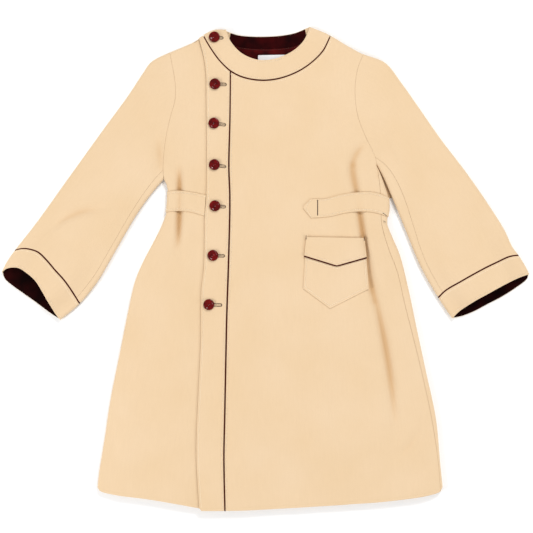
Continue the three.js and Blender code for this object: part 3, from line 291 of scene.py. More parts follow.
class Edge:
    """A line in plan that is walked from 0 to 1."""

    def __init__(self, points: np.ndarray, shares: np.ndarray | None = None) -> None:
        """Keeps the line's points.

        Args:
            points: Places on the line, (n, 2).
            shares: Share of each point, or None to walk the line by its length.
        """
        self.points = np.asarray(points, float)
        steps = np.linalg.norm(np.diff(self.points, axis=0), axis=1)
        travelled = np.concatenate([[0.0], np.cumsum(steps)])
        self.length = float(travelled[-1])
        self.shares = travelled / self.length if shares is None else shares

    @classmethod
    def through(cls, rows: Sequence[Row | Sequence[float]], per_span: int = 24) -> Edge:
        """A smooth line through rows.

        Args:
            rows: Places that the line passes through.
            per_span: Steps between two places.

        Returns:
            A centripetal spline, walked by its length.
        """
        knots = np.array([[row[0], row[1]] for row in rows], float)
        knots = np.vstack([2 * knots[0] - knots[1], knots, 2 * knots[-1] - knots[-2]])
        t = np.linspace(0.0, 1.0, per_span, endpoint=False)[:, None]
        pieces = []
        for a, b, c, d in zip(knots, knots[1:], knots[2:], knots[3:]):
            da, db, dc = (max(math.dist(p, q) ** 0.5, 1e-4) for p, q in ((a, b), (b, c), (c, d)))
            start = ((b - a) / da - (c - a) / (da + db) + (c - b) / db) * db
            end = ((c - b) / db - (d - b) / (db + dc) + (d - c) / dc) * db
            bend = -3 * b + 3 * c - 2 * start - end
            twist = 2 * b - 2 * c + start + end
            pieces.append(b + start * t + bend * t**2 + twist * t**3)
        pieces.append(knots[-2:-1])
        return cls(np.vstack(pieces))

    @classmethod
    def straight(cls, *rows: Row | Sequence[float]) -> Edge:
        """A line with corners at its rows."""
        return cls(np.array([[row[0], row[1]] for row in rows], float))

    def __call__(self, shares: np.ndarray | float) -> np.ndarray:
        """Places at the given shares, with a last axis of x and y."""
        s = np.asarray(shares, float)
        return np.stack([np.interp(s, self.shares, self.points[:, k]) for k in (0, 1)], axis=-1)

    def share_at(self, place: Row | Sequence[float]) -> float:
        """Share at which the line passes closest to a place."""
        tries = np.linspace(0.0, 1.0, 6001)
        gaps = np.linalg.norm(self(tries) - np.array([place[0], place[1]]), axis=1)
        return float(tries[gaps.argmin()])

    def part(self, start: float, end: float) -> Edge:
        """The stretch between two shares, turned round where start is the greater."""
        low, high = sorted((start, end))
        inner = self.shares[(self.shares > low + 1e-9) & (self.shares < high - 1e-9)]
        shares = np.concatenate([[low], inner, [high]])
        points, walked = self(shares), (shares - low) / (high - low)
        if start > end:
            points, walked = points[::-1], (1.0 - walked)[::-1]
        return Edge(points, walked)

    def between(self, a: Row, b: Row) -> Edge:
        """The stretch between two places on the line."""
        return self.part(self.share_at(a), self.share_at(b))

    def joined(self, other: Edge, joint: float) -> Edge:
        """This line up to the share joint, then the other one."""
        shares = np.concatenate([self.shares * joint, joint + other.shares[1:] * (1 - joint)])
        return Edge(np.vstack([self.points, other.points[1:]]), shares)

    def paced(self, level: float = UNDERARM_LEVEL) -> Edge:
        """The same line, its underarm share moved to the height level."""
        share = float(np.interp(level, self.points[:, 1], self.shares))
        return self.part(0.0, share).joined(self.part(share, 1.0), UNDERARM)


def named(rows: Sequence[Row], at: str) -> Row:
    """The row with the name at."""
    return next(row for row in rows if row.at == at)


@dataclass(frozen=True)
class CoatForm:
    """Height and slope of the flat coat's two faces.

    The front face rises from rolled folds at the sides, is higher where a cuff stands open and dips
    in its creases. The back face is flat, apart from a rise over the belt.
    """

    cloth: float = 2.0
    band: float = 1.8
    lining: float = 1.0
    seam: float = 0.3
    lap: float = 2.3
    lap_fade: tuple[float, float] = (-60.0, 30.0)
    roll: float = 6.0
    loft: float = 4.0
    loft_reach: float = 50.0
    cuff_loft: float = 14.0
    cuff_reach: float = 95.0
    belt_rise: float = 2.35
    belt_half: float = 20.0
    belt_level: float = 20.0
    belt_fade: float = 45.0
    # Crease depths at which the painted amber shade begins and is full
    shallow: float = 2.4
    deepest: float = 9.5
    ripple: float = 0.3
    ripple_seed: int = 7
    waves: int = 14
    wave_length: tuple[float, float] = (55.0, 190.0)
    rise_from: float = 0.8
    crease_from: float = 24.0
    crease_points: int = 29
    crease_reach: float = 3.0
    crease_ends: tuple[float, float] = (0.03, 0.97)
    fold_step: float = 3.0
    run_on: float = 16.0
    touching: float = 0.5
    batch: int = 3000
    lines: dict[str, np.ndarray] = field(default_factory=dict)

    def __post_init__(self) -> None:
        """Lays out the folded edges as short steps, and the ripples."""
        starts, ends = [], []
        for chain in ((OUTER_LEFT,), (LOWER_LEFT, SIDE_LEFT), (SIDE_RIGHT, LOWER_RIGHT), (OUTER_RIGHT,)):
            places = []
            for edge in map(Edge.through, chain):
                count = math.ceil(edge.length / self.fold_step)
                places.append(edge(np.linspace(0.0, 1.0, count + 1))[(1 if places else 0):])
            points = np.vstack(places)
            first, last = (
                end + (end - inner) / np.linalg.norm(end - inner) * self.run_on
                for end, inner in ((points[0], points[1]), (points[-1], points[-2]))
            )
            points = np.vstack([first, points, last])
            starts.append(points[:-1])
            ends.append(points[1:])
        self.lines["start"] = np.vstack(starts)
        self.lines["run"] = np.vstack(ends) - self.lines["start"]
        self.lines["size"] = (self.lines["run"] ** 2).sum(axis=1)
        normal = np.stack([-self.lines["run"][:, 1], self.lines["run"][:, 0]], axis=1)
        self.lines["normal"] = normal / np.sqrt(self.lines["size"])[:, None]
        rng = np.random.default_rng(self.ripple_seed)
        turn = rng.uniform(0.0, math.tau, self.waves)
        length = rng.uniform(*self.wave_length, self.waves)
        self.lines["wave"] = np.stack([np.cos(turn), np.sin(turn)], axis=1) * (math.tau / length)[:, None]
        self.lines["phase"] = rng.uniform(0.0, math.tau, self.waves)

    def fold(self, points: np.ndarray) -> tuple[np.ndarray, np.ndarray]:
        """Distance from each place to the nearest folded edge, and the direction into the cloth."""
        gap, inward = np.empty(len(points)), np.empty_like(points)
        start, run, size, normal = (self.lines[k] for k in ("start", "run", "size", "normal"))
        for low in range(0, len(points), self.batch):
            some = slice(low, low + self.batch)
            place = points[some]
            rel = place[:, None, :] - start
            t = np.clip((rel * run).sum(axis=-1) / size, 0.0, 1.0)
            off = rel - t[..., None] * run
            near = (off**2).sum(axis=-1).argmin(axis=1)
            pick = np.arange(len(place))
            d, n = off[pick, near], normal[near]
            distance = np.linalg.norm(d, axis=1)
            signed = np.maximum((d * n).sum(axis=1), 0.0)
            close = distance < self.touching
            gap[some] = np.where(close, signed, distance)
            away = d / np.maximum(distance, 1e-6)[:, None]
            inward[some] = np.where(close[:, None], n, away)
        return gap, inward

    def crease_depth(self, points: np.ndarray) -> np.ndarray:
        """Depth of the creases at each place."""
        depth = np.zeros(len(points))
        t = np.linspace(0.0, 1.0, self.crease_points)[:, None]
        for c in CREASES + FINE_CREASES:
            bends = np.array([[c.x0, c.y0], [c.xm, c.ym], [c.x1, c.y1]])
            path = (1 - t) ** 2 * bends[0] + 2 * t * (1 - t) * bends[1] + t**2 * bends[2]
            reach = self.crease_reach * c.half
            low, high = path.min(axis=0) - reach, path.max(axis=0) + reach
            inside = np.flatnonzero(((points > low) & (points < high)).all(axis=1))
            if not len(inside):
                continue
            rel = points[inside][:, None, :] - path[:-1]
            run = np.diff(path, axis=0)
            share = np.clip((rel * run).sum(axis=-1) / (run**2).sum(axis=1), 0.0, 1.0)
            gaps = np.linalg.norm(rel - share[..., None] * run, axis=-1)
            near = gaps.argmin(axis=1)
            along = (near + share[np.arange(len(inside)), near]) / len(run)
            fade = np.sin(math.pi * np.clip(along, *self.crease_ends)) ** 0.6
            gap = gaps[np.arange(len(inside)), near] / c.half
            depth[inside] += c.depth * np.exp(-(gap**2)) * fade
        return depth

    def shade(self, points: np.ndarray, face: Face, share: float) -> np.ndarray:
        """Strength of the painted amber shade at each point, 0 to 1, growing with the creases' depth, and
        none on the back.
        """
        if face is Face.BACK:
            return np.zeros(points.shape[:-1])
        depth = share * self.crease_depth(points[..., :2].reshape(-1, 2))
        return smooth(depth, self.shallow, self.deepest).reshape(points.shape[:-1])

    def hollow(self, points: np.ndarray, share: float) -> np.ndarray:
        """A share of the creases' depth and the soft unevenness of the laid cloth together."""
        wave = np.sin(points @ self.lines["wave"].T + self.lines["phase"]).sum(axis=1)
        return share * self.crease_depth(points) - self.ripple * 0.5 * wave

    def rise(self, points: np.ndarray) -> np.ndarray:
        """How much the front face stands above its folded edges."""
        total = np.full(len(points), self.loft)
        for mouth in CUFF_MOUTHS:
            far = np.linalg.norm(points - np.array([mouth.x, mouth.y]), axis=1)
            total += self.cuff_loft * np.exp(-((far / self.cuff_reach) ** 2))
        return total

    def over_belt(self, points: np.ndarray) -> np.ndarray:
        """Half height of the back face, less where it rises over the belt."""
        first, last = BELT_BACK_MIDDLE[0], BELT_BACK_MIDDLE[-1]
        middle = Edge.through(BELT_BACK_MIDDLE)
        share = np.clip((points[:, 0] - first.x) / (last.x - first.x), 0.0, 1.0)
        off = np.abs(points[:, 1] - middle(share)[:, 1])
        level = 1.0 - smooth(off, self.belt_half + self.belt_level, self.belt_half + self.belt_fade)
        return self.roll - self.belt_rise * level

    def slopes(self, height: Callable[[np.ndarray], np.ndarray], points: np.ndarray) -> np.ndarray:
        """Slope of a height in plan, (n, 2)."""
        step = 0.6
        parts = []
        for axis in (np.array([step, 0.0]), np.array([0.0, step])):
            parts.append((height(points + axis) - height(points - axis)) / (2 * step))
        return np.stack(parts, axis=1)

    def frames(self, places: np.ndarray, face: Face, share: float = 1.0) -> Frames:
        """Points and outward normals on one face of the coat.

        Args:
            places: Places in plan with a last axis of x and y.
            face: The face that they are on.
            share: How far a piece sinks into the creases, less than 1 for one that bridges them.

        Returns:
            Points and unit normals, with a last axis of x, y and z, in millimetres.
        """
        shape = places.shape[:-1]
        points = places.reshape(-1, 2)
        gap, inward = self.fold(points)
        if face is Face.FRONT:
            low = self.roll * self.rise_from
            inside, fade = smooth(gap, low, self.loft_reach), smooth(gap, self.roll, self.crease_from)
            rise, dip = self.rise(points), self.hollow(points, share)
            half = self.roll + inside * rise - fade * dip
            slope = inside[:, None] * self.slopes(self.rise, points)
            slope -= fade[:, None] * self.slopes(partial(self.hollow, share=share), points)
            inside_slope = smooth_slope(gap, low, self.loft_reach)
            fade_slope = smooth_slope(gap, self.roll, self.crease_from)
            slope += (inside_slope * rise - fade_slope * dip)[:, None] * inward
        else:
            half = self.over_belt(points)
            slope = self.slopes(self.over_belt, points)
        away = np.maximum(0.0, self.roll - gap)
        lift = np.sqrt(np.maximum(0.0, 1.0 - (away / self.roll) ** 2))
        steep = half * away / self.roll**2
        z = self.roll + face.value * np.maximum(half * lift, 0.0)
        normal = np.empty((len(points), 3))
        normal[:, :2] = -steep[:, None] * inward - (lift**2)[:, None] * slope
        normal[:, 2] = face.value * np.maximum(lift, 1e-3)
        normal /= np.linalg.norm(normal, axis=1)[:, None]
        point = np.column_stack([points, z])
        return point.reshape(*shape, 3), normal.reshape(*shape, 3)

    def lap_at(self, x: np.ndarray) -> np.ndarray:
        """How far the upper front stands out over the one beneath, at each x."""
        return self.lap * (1.0 - smooth(x, *self.lap_fade))


@dataclass(frozen=True)
class Patch:
    """A piece of cloth in plan between four edges; u runs from left to right, v from bottom to top."""

    left: Edge
    right: Edge
    bottom: Edge
    top: Edge
    fan: tuple[float, float] = (0.0, 0.0)

    def at(self, u: np.ndarray, v: np.ndarray) -> np.ndarray:
        """Places at shares u and v of equal shape."""
        across, down = np.asarray(u, float)[..., None], np.asarray(v, float)[..., None]
        c00, c10, c01, c11 = self.bottom(0.0), self.bottom(1.0), self.top(0.0), self.top(1.0)
        place = self.left(v) * (1 - across) + self.right(v) * across
        place = place + self.bottom(u) * (1 - down) + self.top(u) * down
        place -= c00 * (1 - across) * (1 - down) + c10 * across * (1 - down)
        place -= c01 * (1 - across) * down + c11 * across * down
        bend = smooth(1 - across, 0.0, 0.1) * smooth(across, 0.0, 0.6)
        return place + np.array(self.fan) * bend * down * (1 - down) ** 3


@dataclass(frozen=True)
class Rim:
    """The first steps beside one border of a piece.

    Attributes:
        inset: Space kept free along the border.
        steps: Distances from the border at which the piece has a station.
        rounded: Whether the cloth's edge is rounded there.
        crisp: How much tighter than half the cloth's thickness it is rounded.
        groove: Distance of a sewn groove from the border, or 0 for none.
    """

    inset: float = 0.15
    steps: tuple[float, ...] = (0.0, 0.15, 0.5, 1.0, 2.2, 4.2)
    rounded: bool = True
    crisp: float = 1.0
    groove: float = 0.0


FREE = Rim(inset=0.0)
SEWN = Rim(inset=0.06, steps=(0.0, 0.1, 0.3, 1.0, 2.2, 4.2), crisp=4.0)
STITCHED = Rim(inset=0.0, steps=(0.0, 0.15, 0.5, 0.95, 2.2, 3.2, 4.2, 5.2, 7.0), groove=4.2)
ROLLED = Rim(inset=0.0, steps=(0.0, 0.15, 0.5, 1.1, 1.9, 2.9, 4.1, 5.5, 8.0, 12.0))
TURNED = Rim(inset=0.0, steps=(0.0, 0.3, 0.9, 1.7, 2.8, 4.0, 5.5, 8.0, 12.0), rounded=False)
CORDED = Rim(inset=1.35)
CORDED_STITCHED = Rim(inset=1.35, steps=(0.0, 0.15, 0.5, 0.95, 2.0, 3.0, 4.0, 5.2, 7.0), groove=3.2)
JOINT = Rim(inset=0.0, steps=(0.0,), rounded=False)


@dataclass(frozen=True)
class Stitch:
    """A kind of stitch: its spacing, its length, the thread's radius and how it lies."""

    pitch: float = 4.0
    length: float = 3.2
    radius: float = 0.5
    lay: Lay = Lay.ALONG


TOPSTITCH = Stitch()
BUTTONHOLE = Stitch(0.85, 1.5, lay=Lay.ACROSS)
SLOT = Stitch(1.2, 1.3, 0.3)
BAR_TACK = Stitch(0.8, 2.0, lay=Lay.ACROSS)
END_TACK = Stitch(0.8, 1.6)
CORNER_TACK = Stitch(0.8, 1.6, 0.45, Lay.ACROSS)
LABEL_STITCH = Stitch(2.4, 2.2)


def even_stations(length: float, step: float, near: Rim, far: Rim) -> int:
    """Number of even steps that a mean length needs between its rims."""
    reach = near.inset + near.steps[-1] + far.inset + far.steps[-1]
    return max(1, round((length - reach) / step))


def ladder(lengths: np.ndarray, count: int, near: Rim, far: Rim) -> tuple[np.ndarray, ...]:
    """Stations along lines of different lengths.

    Args:
        lengths: Length of each line in millimetres, (n,).
        count: Number of even steps between the rims.
        near: Rim at the lines' start.
        far: Rim at their end.

    Returns:
        Shares of the stations, (n, k), and their distances from the start and the end in millimetres.
    """
    reach = near.inset + near.steps[-1] + far.inset + far.steps[-1]
    squeeze = np.minimum(1.0, 0.8 * lengths / max(reach, 1e-6))[:, None]
    starts = (near.inset + np.array(near.steps)) * squeeze
    ends = lengths[:, None] - ((far.inset + np.array(far.steps)) * squeeze)[:, ::-1]
    even = np.linspace(0.0, 1.0, count + 1)[1:-1]
    middle = starts[:, -1:] * (1 - even) + ends[:, :1] * even
    stations = np.hstack([starts, middle, ends])
    from_start = stations - near.inset * squeeze
    from_end = lengths[:, None] - far.inset * squeeze - stations
    return stations / np.maximum(lengths, 1e-6)[:, None], from_start, from_end


def snap(shares: np.ndarray, joints: Sequence[float]) -> np.ndarray:
    """Moves the nearest column of stations onto each joint."""
    moved = shares.copy()
    for joint in joints:
        moved[:, np.abs(shares.mean(axis=0) - joint).argmin()] = joint
    return moved


@dataclass
class Grid:
    """Frames of a piece in rows and columns.

    Attributes:
        points: Points on the face, (rows, columns, 3).
        normals: Outward normals.
        rim: Distance to the nearest rounded border.
        groove: Depth of the sewn groove, 0 to 1.
        weave: Place on the flat cut in millimetres and strength of the painted amber shade in the creases,
            (rows, columns, 3).
    """

    points: np.ndarray
    normals: np.ndarray
    rim: np.ndarray
    groove: np.ndarray
    weave: np.ndarray

    @property
    def parts(self) -> tuple[np.ndarray, ...]:
        """Its arrays in the order of its fields."""
        return self.points, self.normals, self.rim, self.groove, self.weave

    def beside(self, other: Grid) -> Grid:
        """This grid with the columns of another one after its own."""
        shift = self.weave[..., 0].max() - other.weave[..., 0].min()
        moved = (*other.parts[:-1], other.weave + np.array([shift, 0.0, 0.0]))
        return Grid(*(np.concatenate(pair, axis=1) for pair in zip(self.parts, moved)))

    def flipped(self) -> Grid:
        """The grid with its columns in the opposite order."""
        turned = Grid(*(a[:, ::-1] for a in self.parts))
        turned.weave = turned.weave * np.array([-1.0, 1.0, 1.0])
        return turned

    def moved(self, by: np.ndarray | float) -> Grid:
        """The grid moved out along its normals."""
        amount = np.broadcast_to(by, self.points.shape[:2])[..., None]
        return Grid(self.points + self.normals * amount, *self.parts[1:])

    def columns(self, start: int, end: int | None) -> Grid:
        """Some of its columns."""
        return Grid(*(a[:, start:end] for a in self.parts))


@dataclass(frozen=True)
class Cutter:
    """Lays pieces of cloth on the coat's form."""

    form: CoatForm
    step: float = 4.5
    groove_half: float = 1.1

    def grid(
        self,
        patch: Patch,
        face: Face,
        rims: tuple[Rim, Rim, Rim, Rim] = (SEWN, SEWN, SEWN, SEWN),
        step: float | None = None,
        across: tuple[float, float] = (0.0, 1.0),
        joints: Sequence[float] = (),
        levels: Sequence[float] = (),
        share: float = 1.0,
    ) -> Grid:
        """Frames of a piece.

        Args:
            patch: Its outline.
            face: The face of the coat that it lies on.
            rims: Rims at its left, right, bottom and top.
            step: Distance between its stations, or None for the cutter's own.
            across: Part of the patch that it takes, as shares of the width.
            joints: Shares across that have a column of their own.
            levels: Shares along that have a row of their own.
            share: How far it sinks into the creases.

        Returns:
            The piece's grid.
        """
        step = step or self.step
        left, right, bottom, top = rims
        v0 = np.linspace(0.0, 1.0, 61)
        width = self.widths(patch, v0, across)
        height_at = np.linspace(across[0], across[1], 41)
        heights = self.heights(patch, height_at)
        tall = even_stations(heights.mean(), step, bottom, top)
        wide = even_stations(width.mean(), step, left, right)
        v_mean = snap(ladder(heights.mean(keepdims=True), tall, bottom, top)[0], levels)[0]
        u, near, far = ladder(np.interp(v_mean, v0, width), wide, left, right)
        u = snap(across[0] + u * (across[1] - across[0]), joints)
        v, low, high = ladder(np.interp(u.mean(axis=0), height_at, heights), tall, bottom, top)
        v, low, high = snap(v, levels).T, low.T, high.T
        rim = np.full(u.shape, FAR)
        groove = np.zeros(u.shape)
        for border, distance in ((left, near), (right, far), (bottom, low), (top, high)):
            if border.rounded:
                rim = np.minimum(rim, distance * border.crisp)
            if border.groove:
                deep = np.exp(-(((distance - border.groove) / self.groove_half) ** 2))
                groove = np.maximum(groove, deep)
        points, normals = self.form.frames(patch.at(u, v), face, share)
        # Painted shade: strength of the amber tint in the creases, kept as the third part of the weave
        crease_shade = self.form.shade(points, face, share)
        weave = np.stack([u * width.mean() / (across[1] - across[0]), v * heights.mean(), crease_shade], axis=-1)
        return Grid(points, normals, rim, groove, weave)

    def widths(self, patch: Patch, v: np.ndarray, across: tuple[float, float]) -> np.ndarray:
        """Width of a patch at the shares v."""
        u = np.linspace(across[0], across[1], 9)
        places = patch.at(*np.broadcast_arrays(u[None, :], v[:, None]))
        return np.linalg.norm(np.diff(places, axis=1), axis=-1).sum(axis=1)

    def heights(self, patch: Patch, u: np.ndarray) -> np.ndarray:
        """Length of a patch at the shares u."""
        v = np.linspace(0.0, 1.0, 25)
        places = patch.at(*np.broadcast_arrays(u[:, None], v[None, :]))
        return np.linalg.norm(np.diff(places, axis=1), axis=-1).sum(axis=1)

    def line(self, places: np.ndarray, face: Face = Face.FRONT) -> Frames:
        """Points and normals along a line in plan."""
        return self.form.frames(np.asarray(places, float), face)


class Nodes:
    """Short calls for a material's node tree."""

    def __init__(self, material: bpy.types.Material) -> None:
        """Clears the tree and adds the shader and its output."""
        material.use_nodes = True
        self.tree = material.node_tree
        self.tree.nodes.clear()
        self.shader = self.add("ShaderNodeBsdfPrincipled")
        output = self.add("ShaderNodeOutputMaterial")
        self.link(self.shader.outputs["BSDF"], output.inputs["Surface"])

    def add(self, kind: str, **values: object) -> bpy.types.Node:
        """A node with its properties set, and its sockets where a value's name is one."""
        node = self.tree.nodes.new(kind)
        for key, value in values.items():
            if hasattr(node, key):
                setattr(node, key, value)
            else:
                node.inputs[key.replace("_", " ").title()].default_value = value
        return node

    def link(self, start: Socket, end: Socket) -> None:
        """Joins two sockets."""
        self.tree.links.new(start, end)

    def noise(self, vector: Socket, scale: float, detail: float = 3.0) -> Socket:
        """Soft noise, 0 to 1."""
        node = self.add("ShaderNodeTexNoise", scale=scale, detail=detail)
        self.link(vector, node.inputs["Vector"])
        return node.outputs["Fac"]

    def ramp(self, value: Socket, stops: Sequence[tuple[float, tuple]]) -> Socket:
        """A colour that follows a value."""
        node = self.add("ShaderNodeValToRGB")
        for i, (place, colour) in enumerate(stops):
            stop = node.color_ramp.elements[i] if i < 2 else node.color_ramp.elements.new(place)
            stop.position = place
            stop.color = colour
        self.link(value, node.inputs["Fac"])
        return node.outputs["Color"]

    def scaled(self, value: Socket, factor: float) -> Socket:
        """A value times a number."""
        node = self.add("ShaderNodeMath", operation="MULTIPLY")
        node.inputs[1].default_value = factor
        self.link(value, node.inputs[0])
        return node.outputs[0]

    def mix(self, share: Socket | float, a: object, b: object) -> Socket:
        """A mix of two colours."""
        node = self.add("ShaderNodeMix", data_type="RGBA")
        for socket, value in ((node.inputs[0], share), (node.inputs[6], a), (node.inputs[7], b)):
            if isinstance(value, Socket):
                self.link(value, socket)
            else:
                socket.default_value = value
        return node.outputs[2]

    def bump(self, height: Socket, distance: float, strength: float = 1.0) -> None:
        """Raises the surface by a height, on top of any bump that it has."""
        node = self.add("ShaderNodeBump", distance=distance, strength=strength)
        self.link(height, node.inputs["Height"])
        held = self.shader.inputs["Normal"].links
        if held:
            self.link(held[0].from_socket, node.inputs["Normal"])
        self.link(node.outputs["Normal"], self.shader.inputs["Normal"])


def colour(red: float, green: float, blue: float) -> tuple[float, float, float, float]:
    """Linear colour of an sRGB one given as 0 to 255."""
    channels = []
    for value in (red / 255, green / 255, blue / 255):
        channels.append(value / 12.92 if value <= 0.04045 else ((value + 0.055) / 1.055) ** 2.4)
    return (*channels, 1.0)


@dataclass(frozen=True)
class WoolFinish:
    """Felted wool coating: short matte nap over a faint twill, with painted amber shade in the deep creases.
    """

    name: str = "wool"
    light: Triple = (227, 200, 166)
    warm: Triple = (223, 194, 156)
    # colour of the painted amber shade in deep creases, and how strongly it is painted
    amber: Triple = (184, 137, 82)
    painted_shade_share: float = 0.75
    twill: float = 460.0
    twill_share: float = 0.09
    nap: float = 1500.0

    def material(self) -> bpy.types.Material:
        """Builds the finish."""
        made = bpy.data.materials.new(self.name)
        nodes = Nodes(made)
        weave = nodes.add("ShaderNodeAttribute", attribute_name="weave").outputs["Vector"]
        place = nodes.add("ShaderNodeTexCoord").outputs["Object"]
        clouds = nodes.noise(place, 9.0, 4.0)
        base = nodes.ramp(clouds, ((0.3, colour(*self.warm)), (0.72, colour(*self.light))))
        streaks = nodes.add("ShaderNodeMapping")
        streaks.inputs["Scale"].default_value = (self.twill, 26.0, 26.0)
        nodes.link(weave, streaks.inputs["Vector"])
        lines = nodes.noise(streaks.outputs["Vector"], 1.0, 2.0)
        fibres = nodes.noise(place, self.nap, 3.0)
        dark = tuple(0.86 * c for c in colour(*self.warm)[:3]) + (1.0,)
        streaked = nodes.mix(nodes.scaled(lines, self.twill_share * 4), base, dark)
        flecked = nodes.mix(nodes.scaled(fibres, 0.22), streaked, dark)
        # Painted shade: the Z of the weave attribute tints the wool amber where the creases are deep
        parts = nodes.add("ShaderNodeSeparateXYZ")
        nodes.link(weave, parts.inputs["Vector"])
        folded = nodes.scaled(parts.outputs["Z"], self.painted_shade_share)
        toned = nodes.mix(folded, flecked, colour(*self.amber))
        nodes.link(toned, nodes.shader.inputs["Base Color"])
        nodes.shader.inputs["Roughness"].default_value = 0.92
        nodes.shader.inputs["Specular IOR Level"].default_value = 0.2
        nodes.shader.inputs["Sheen Weight"].default_value = 0.25
        nodes.shader.inputs["Sheen Roughness"].default_value = 0.55
        nodes.shader.inputs["Sheen Tint"].default_value = (1.0, 0.93, 0.82, 1.0)
        nodes.bump(lines, 0.00012, 0.5)
        nodes.bump(fibres, 0.00035, 0.6)
        nodes.bump(nodes.noise(place, 260.0, 2.0), 0.0006, 0.5)
        return made


@dataclass(frozen=True)
class SatinFinish:
    """Smooth lining satin: fine ribs across the weave and a soft gloss."""

    name: str
    dark: Triple
    light: Triple
    rough: float = 0.5
    gloss: float = 0.03
    rib: float = 900.0

    def material(self) -> bpy.types.Material:
        """Builds the finish."""
        made = bpy.data.materials.new(self.name)
        nodes = Nodes(made)
        place = nodes.add("ShaderNodeTexCoord").outputs["Object"]
        folds = nodes.noise(place, 34.0, 3.0)
        nodes.link(
            nodes.ramp(folds, ((0.35, colour(*self.dark)), (0.7, colour(*self.light)))),
            nodes.shader.inputs["Base Color"],
        )
        stretched = nodes.add("ShaderNodeMapping")
        stretched.inputs["Scale"].default_value = (self.rib, 60.0, 60.0)
        nodes.link(place, stretched.inputs["Vector"])
        nodes.shader.inputs["Roughness"].default_value = self.rough
        nodes.shader.inputs["Specular IOR Level"].default_value = self.gloss
        nodes.bump(nodes.noise(stretched.outputs["Vector"], 1.0, 2.0), 0.0001, 0.5)
        nodes.bump(folds, 0.0015, 0.4)
        return made


@dataclass(frozen=True)
class CordFinish:
    """Cloth-covered piping cord, dark brown red with paler worn threads."""

    name: str = "piping"
    dark: Triple = (42, 1, 0)
    light: Triple = (90, 12, 3)

    def material(self) -> bpy.types.Material:
        """Builds the finish."""
        made = bpy.data.materials.new(self.name)
        nodes = Nodes(made)
        place = nodes.add("ShaderNodeTexCoord").outputs["Object"]
        threads = nodes.noise(place, 1100.0, 2.0)
        nodes.link(
            nodes.ramp(threads, ((0.3, colour(*self.dark)), (0.75, colour(*self.light)))),
            nodes.shader.inputs["Base Color"],
        )
        nodes.shader.inputs["Roughness"].default_value = 0.7
        nodes.shader.inputs["Specular IOR Level"].default_value = 0.03
        nodes.bump(threads, 0.0003, 0.7)
        return made


@dataclass(frozen=True)
class ThreadFinish:
    """Sewing thread, twisted from fine strands."""

    name: str
    tone: Triple

    def material(self) -> bpy.types.Material:
        """Builds the finish."""
        made = bpy.data.materials.new(self.name)
        nodes = Nodes(made)
        place = nodes.add("ShaderNodeTexCoord").outputs["Object"]
        strands = nodes.noise(place, 2600.0, 2.0)
        full = colour(*self.tone)
        shade = tuple(0.7 * c for c in full[:3]) + (1.0,)
        nodes.link(nodes.ramp(strands, ((0.3, shade), (0.6, full))), nodes.shader.inputs["Base Color"])
        nodes.shader.inputs["Roughness"].default_value = 0.6
        nodes.bump(strands, 0.0001, 0.5)
        return made


@dataclass(frozen=True)
class ButtonFinish:
    """Polished dark red button: faint darker marbling under a clear gloss."""

    name: str = "button"
    dark: Triple = (68, 1, 1)
    light: Triple = (114, 4, 3)

    def material(self) -> bpy.types.Material:
        """Builds the finish."""
        made = bpy.data.materials.new(self.name)
        nodes = Nodes(made)
        place = nodes.add("ShaderNodeTexCoord").outputs["Object"]
        marbling = nodes.noise(place, 150.0, 5.0)
        nodes.link(
            nodes.ramp(marbling, ((0.35, colour(*self.dark)), (0.7, colour(*self.light)))),
            nodes.shader.inputs["Base Color"],
        )
        nodes.shader.inputs["Roughness"].default_value = 0.12
        nodes.shader.inputs["Specular IOR Level"].default_value = 0.16
        nodes.shader.inputs["Coat Weight"].default_value = 0.08
        nodes.shader.inputs["Coat Roughness"].default_value = 0.05
        nodes.bump(nodes.noise(place, 420.0, 2.0), 0.00004, 0.3)
        return made


@dataclass(frozen=True)
class TapeFinish:
    """Bare woven label tape with fine cross ribs."""

    name: str = "label"
    tone: Triple = (252, 250, 251)

    def material(self) -> bpy.types.Material:
        """Builds the finish."""
        made = bpy.data.materials.new(self.name)
        nodes = Nodes(made)
        place = nodes.add("ShaderNodeTexCoord").outputs["Object"]
        ribs = nodes.add("ShaderNodeTexWave", bands_direction="Y", scale=330.0, distortion=0.6)
        nodes.link(place, ribs.inputs["Vector"])
        full = colour(*self.tone)
        shade = tuple(0.88 * c for c in full[:3]) + (1.0,)
        nodes.link(
            nodes.ramp(ribs.outputs["Fac"], ((0.1, shade), (0.8, full))),
            nodes.shader.inputs["Base Color"],
        )
        nodes.shader.inputs["Roughness"].default_value = 0.75
        nodes.bump(ribs.outputs["Fac"], 0.0001, 0.4)
        return made


@dataclass(frozen=True)
class FloorFinish:
    """Plain pale studio floor."""

    name: str = "studio_floor"

    def material(self) -> bpy.types.Material:
        """Builds the finish."""
        made = bpy.data.materials.new(self.name)
        nodes = Nodes(made)
        nodes.shader.inputs["Base Color"].default_value = (0.94, 0.94, 0.94, 1.0)
        nodes.shader.inputs["Roughness"].default_value = 0.95
        nodes.shader.inputs["Specular IOR Level"].default_value = 0.0
        return made


class Finishes:
    """The coat's finishes, each made once."""

    def __init__(self) -> None:
        """Makes the materials."""
        self.wool = WoolFinish().material()
        self.lining = SatinFinish("lining", (42, 5, 6), (96, 13, 13)).material()
        # A darker copy of the lining satin: painted shade for the inside of the cuffs
        self.cuff_lining_painted_shade = SatinFinish("cuff_lining_painted_shade", (14, 1, 1), (38, 4, 4)).material()
        self.facing = SatinFinish("facing", (24, 1, 2), (50, 3, 4), rough=0.6).material()
        self.piping = CordFinish().material()
        self.button = ButtonFinish().material()
        self.label = TapeFinish().material()
        self.floor = FloorFinish().material()
        self.pale_thread = ThreadFinish("pale_thread", (255, 240, 214)).material()
        self.dark_thread = ThreadFinish("dark_thread", (54, 22, 14)).material()


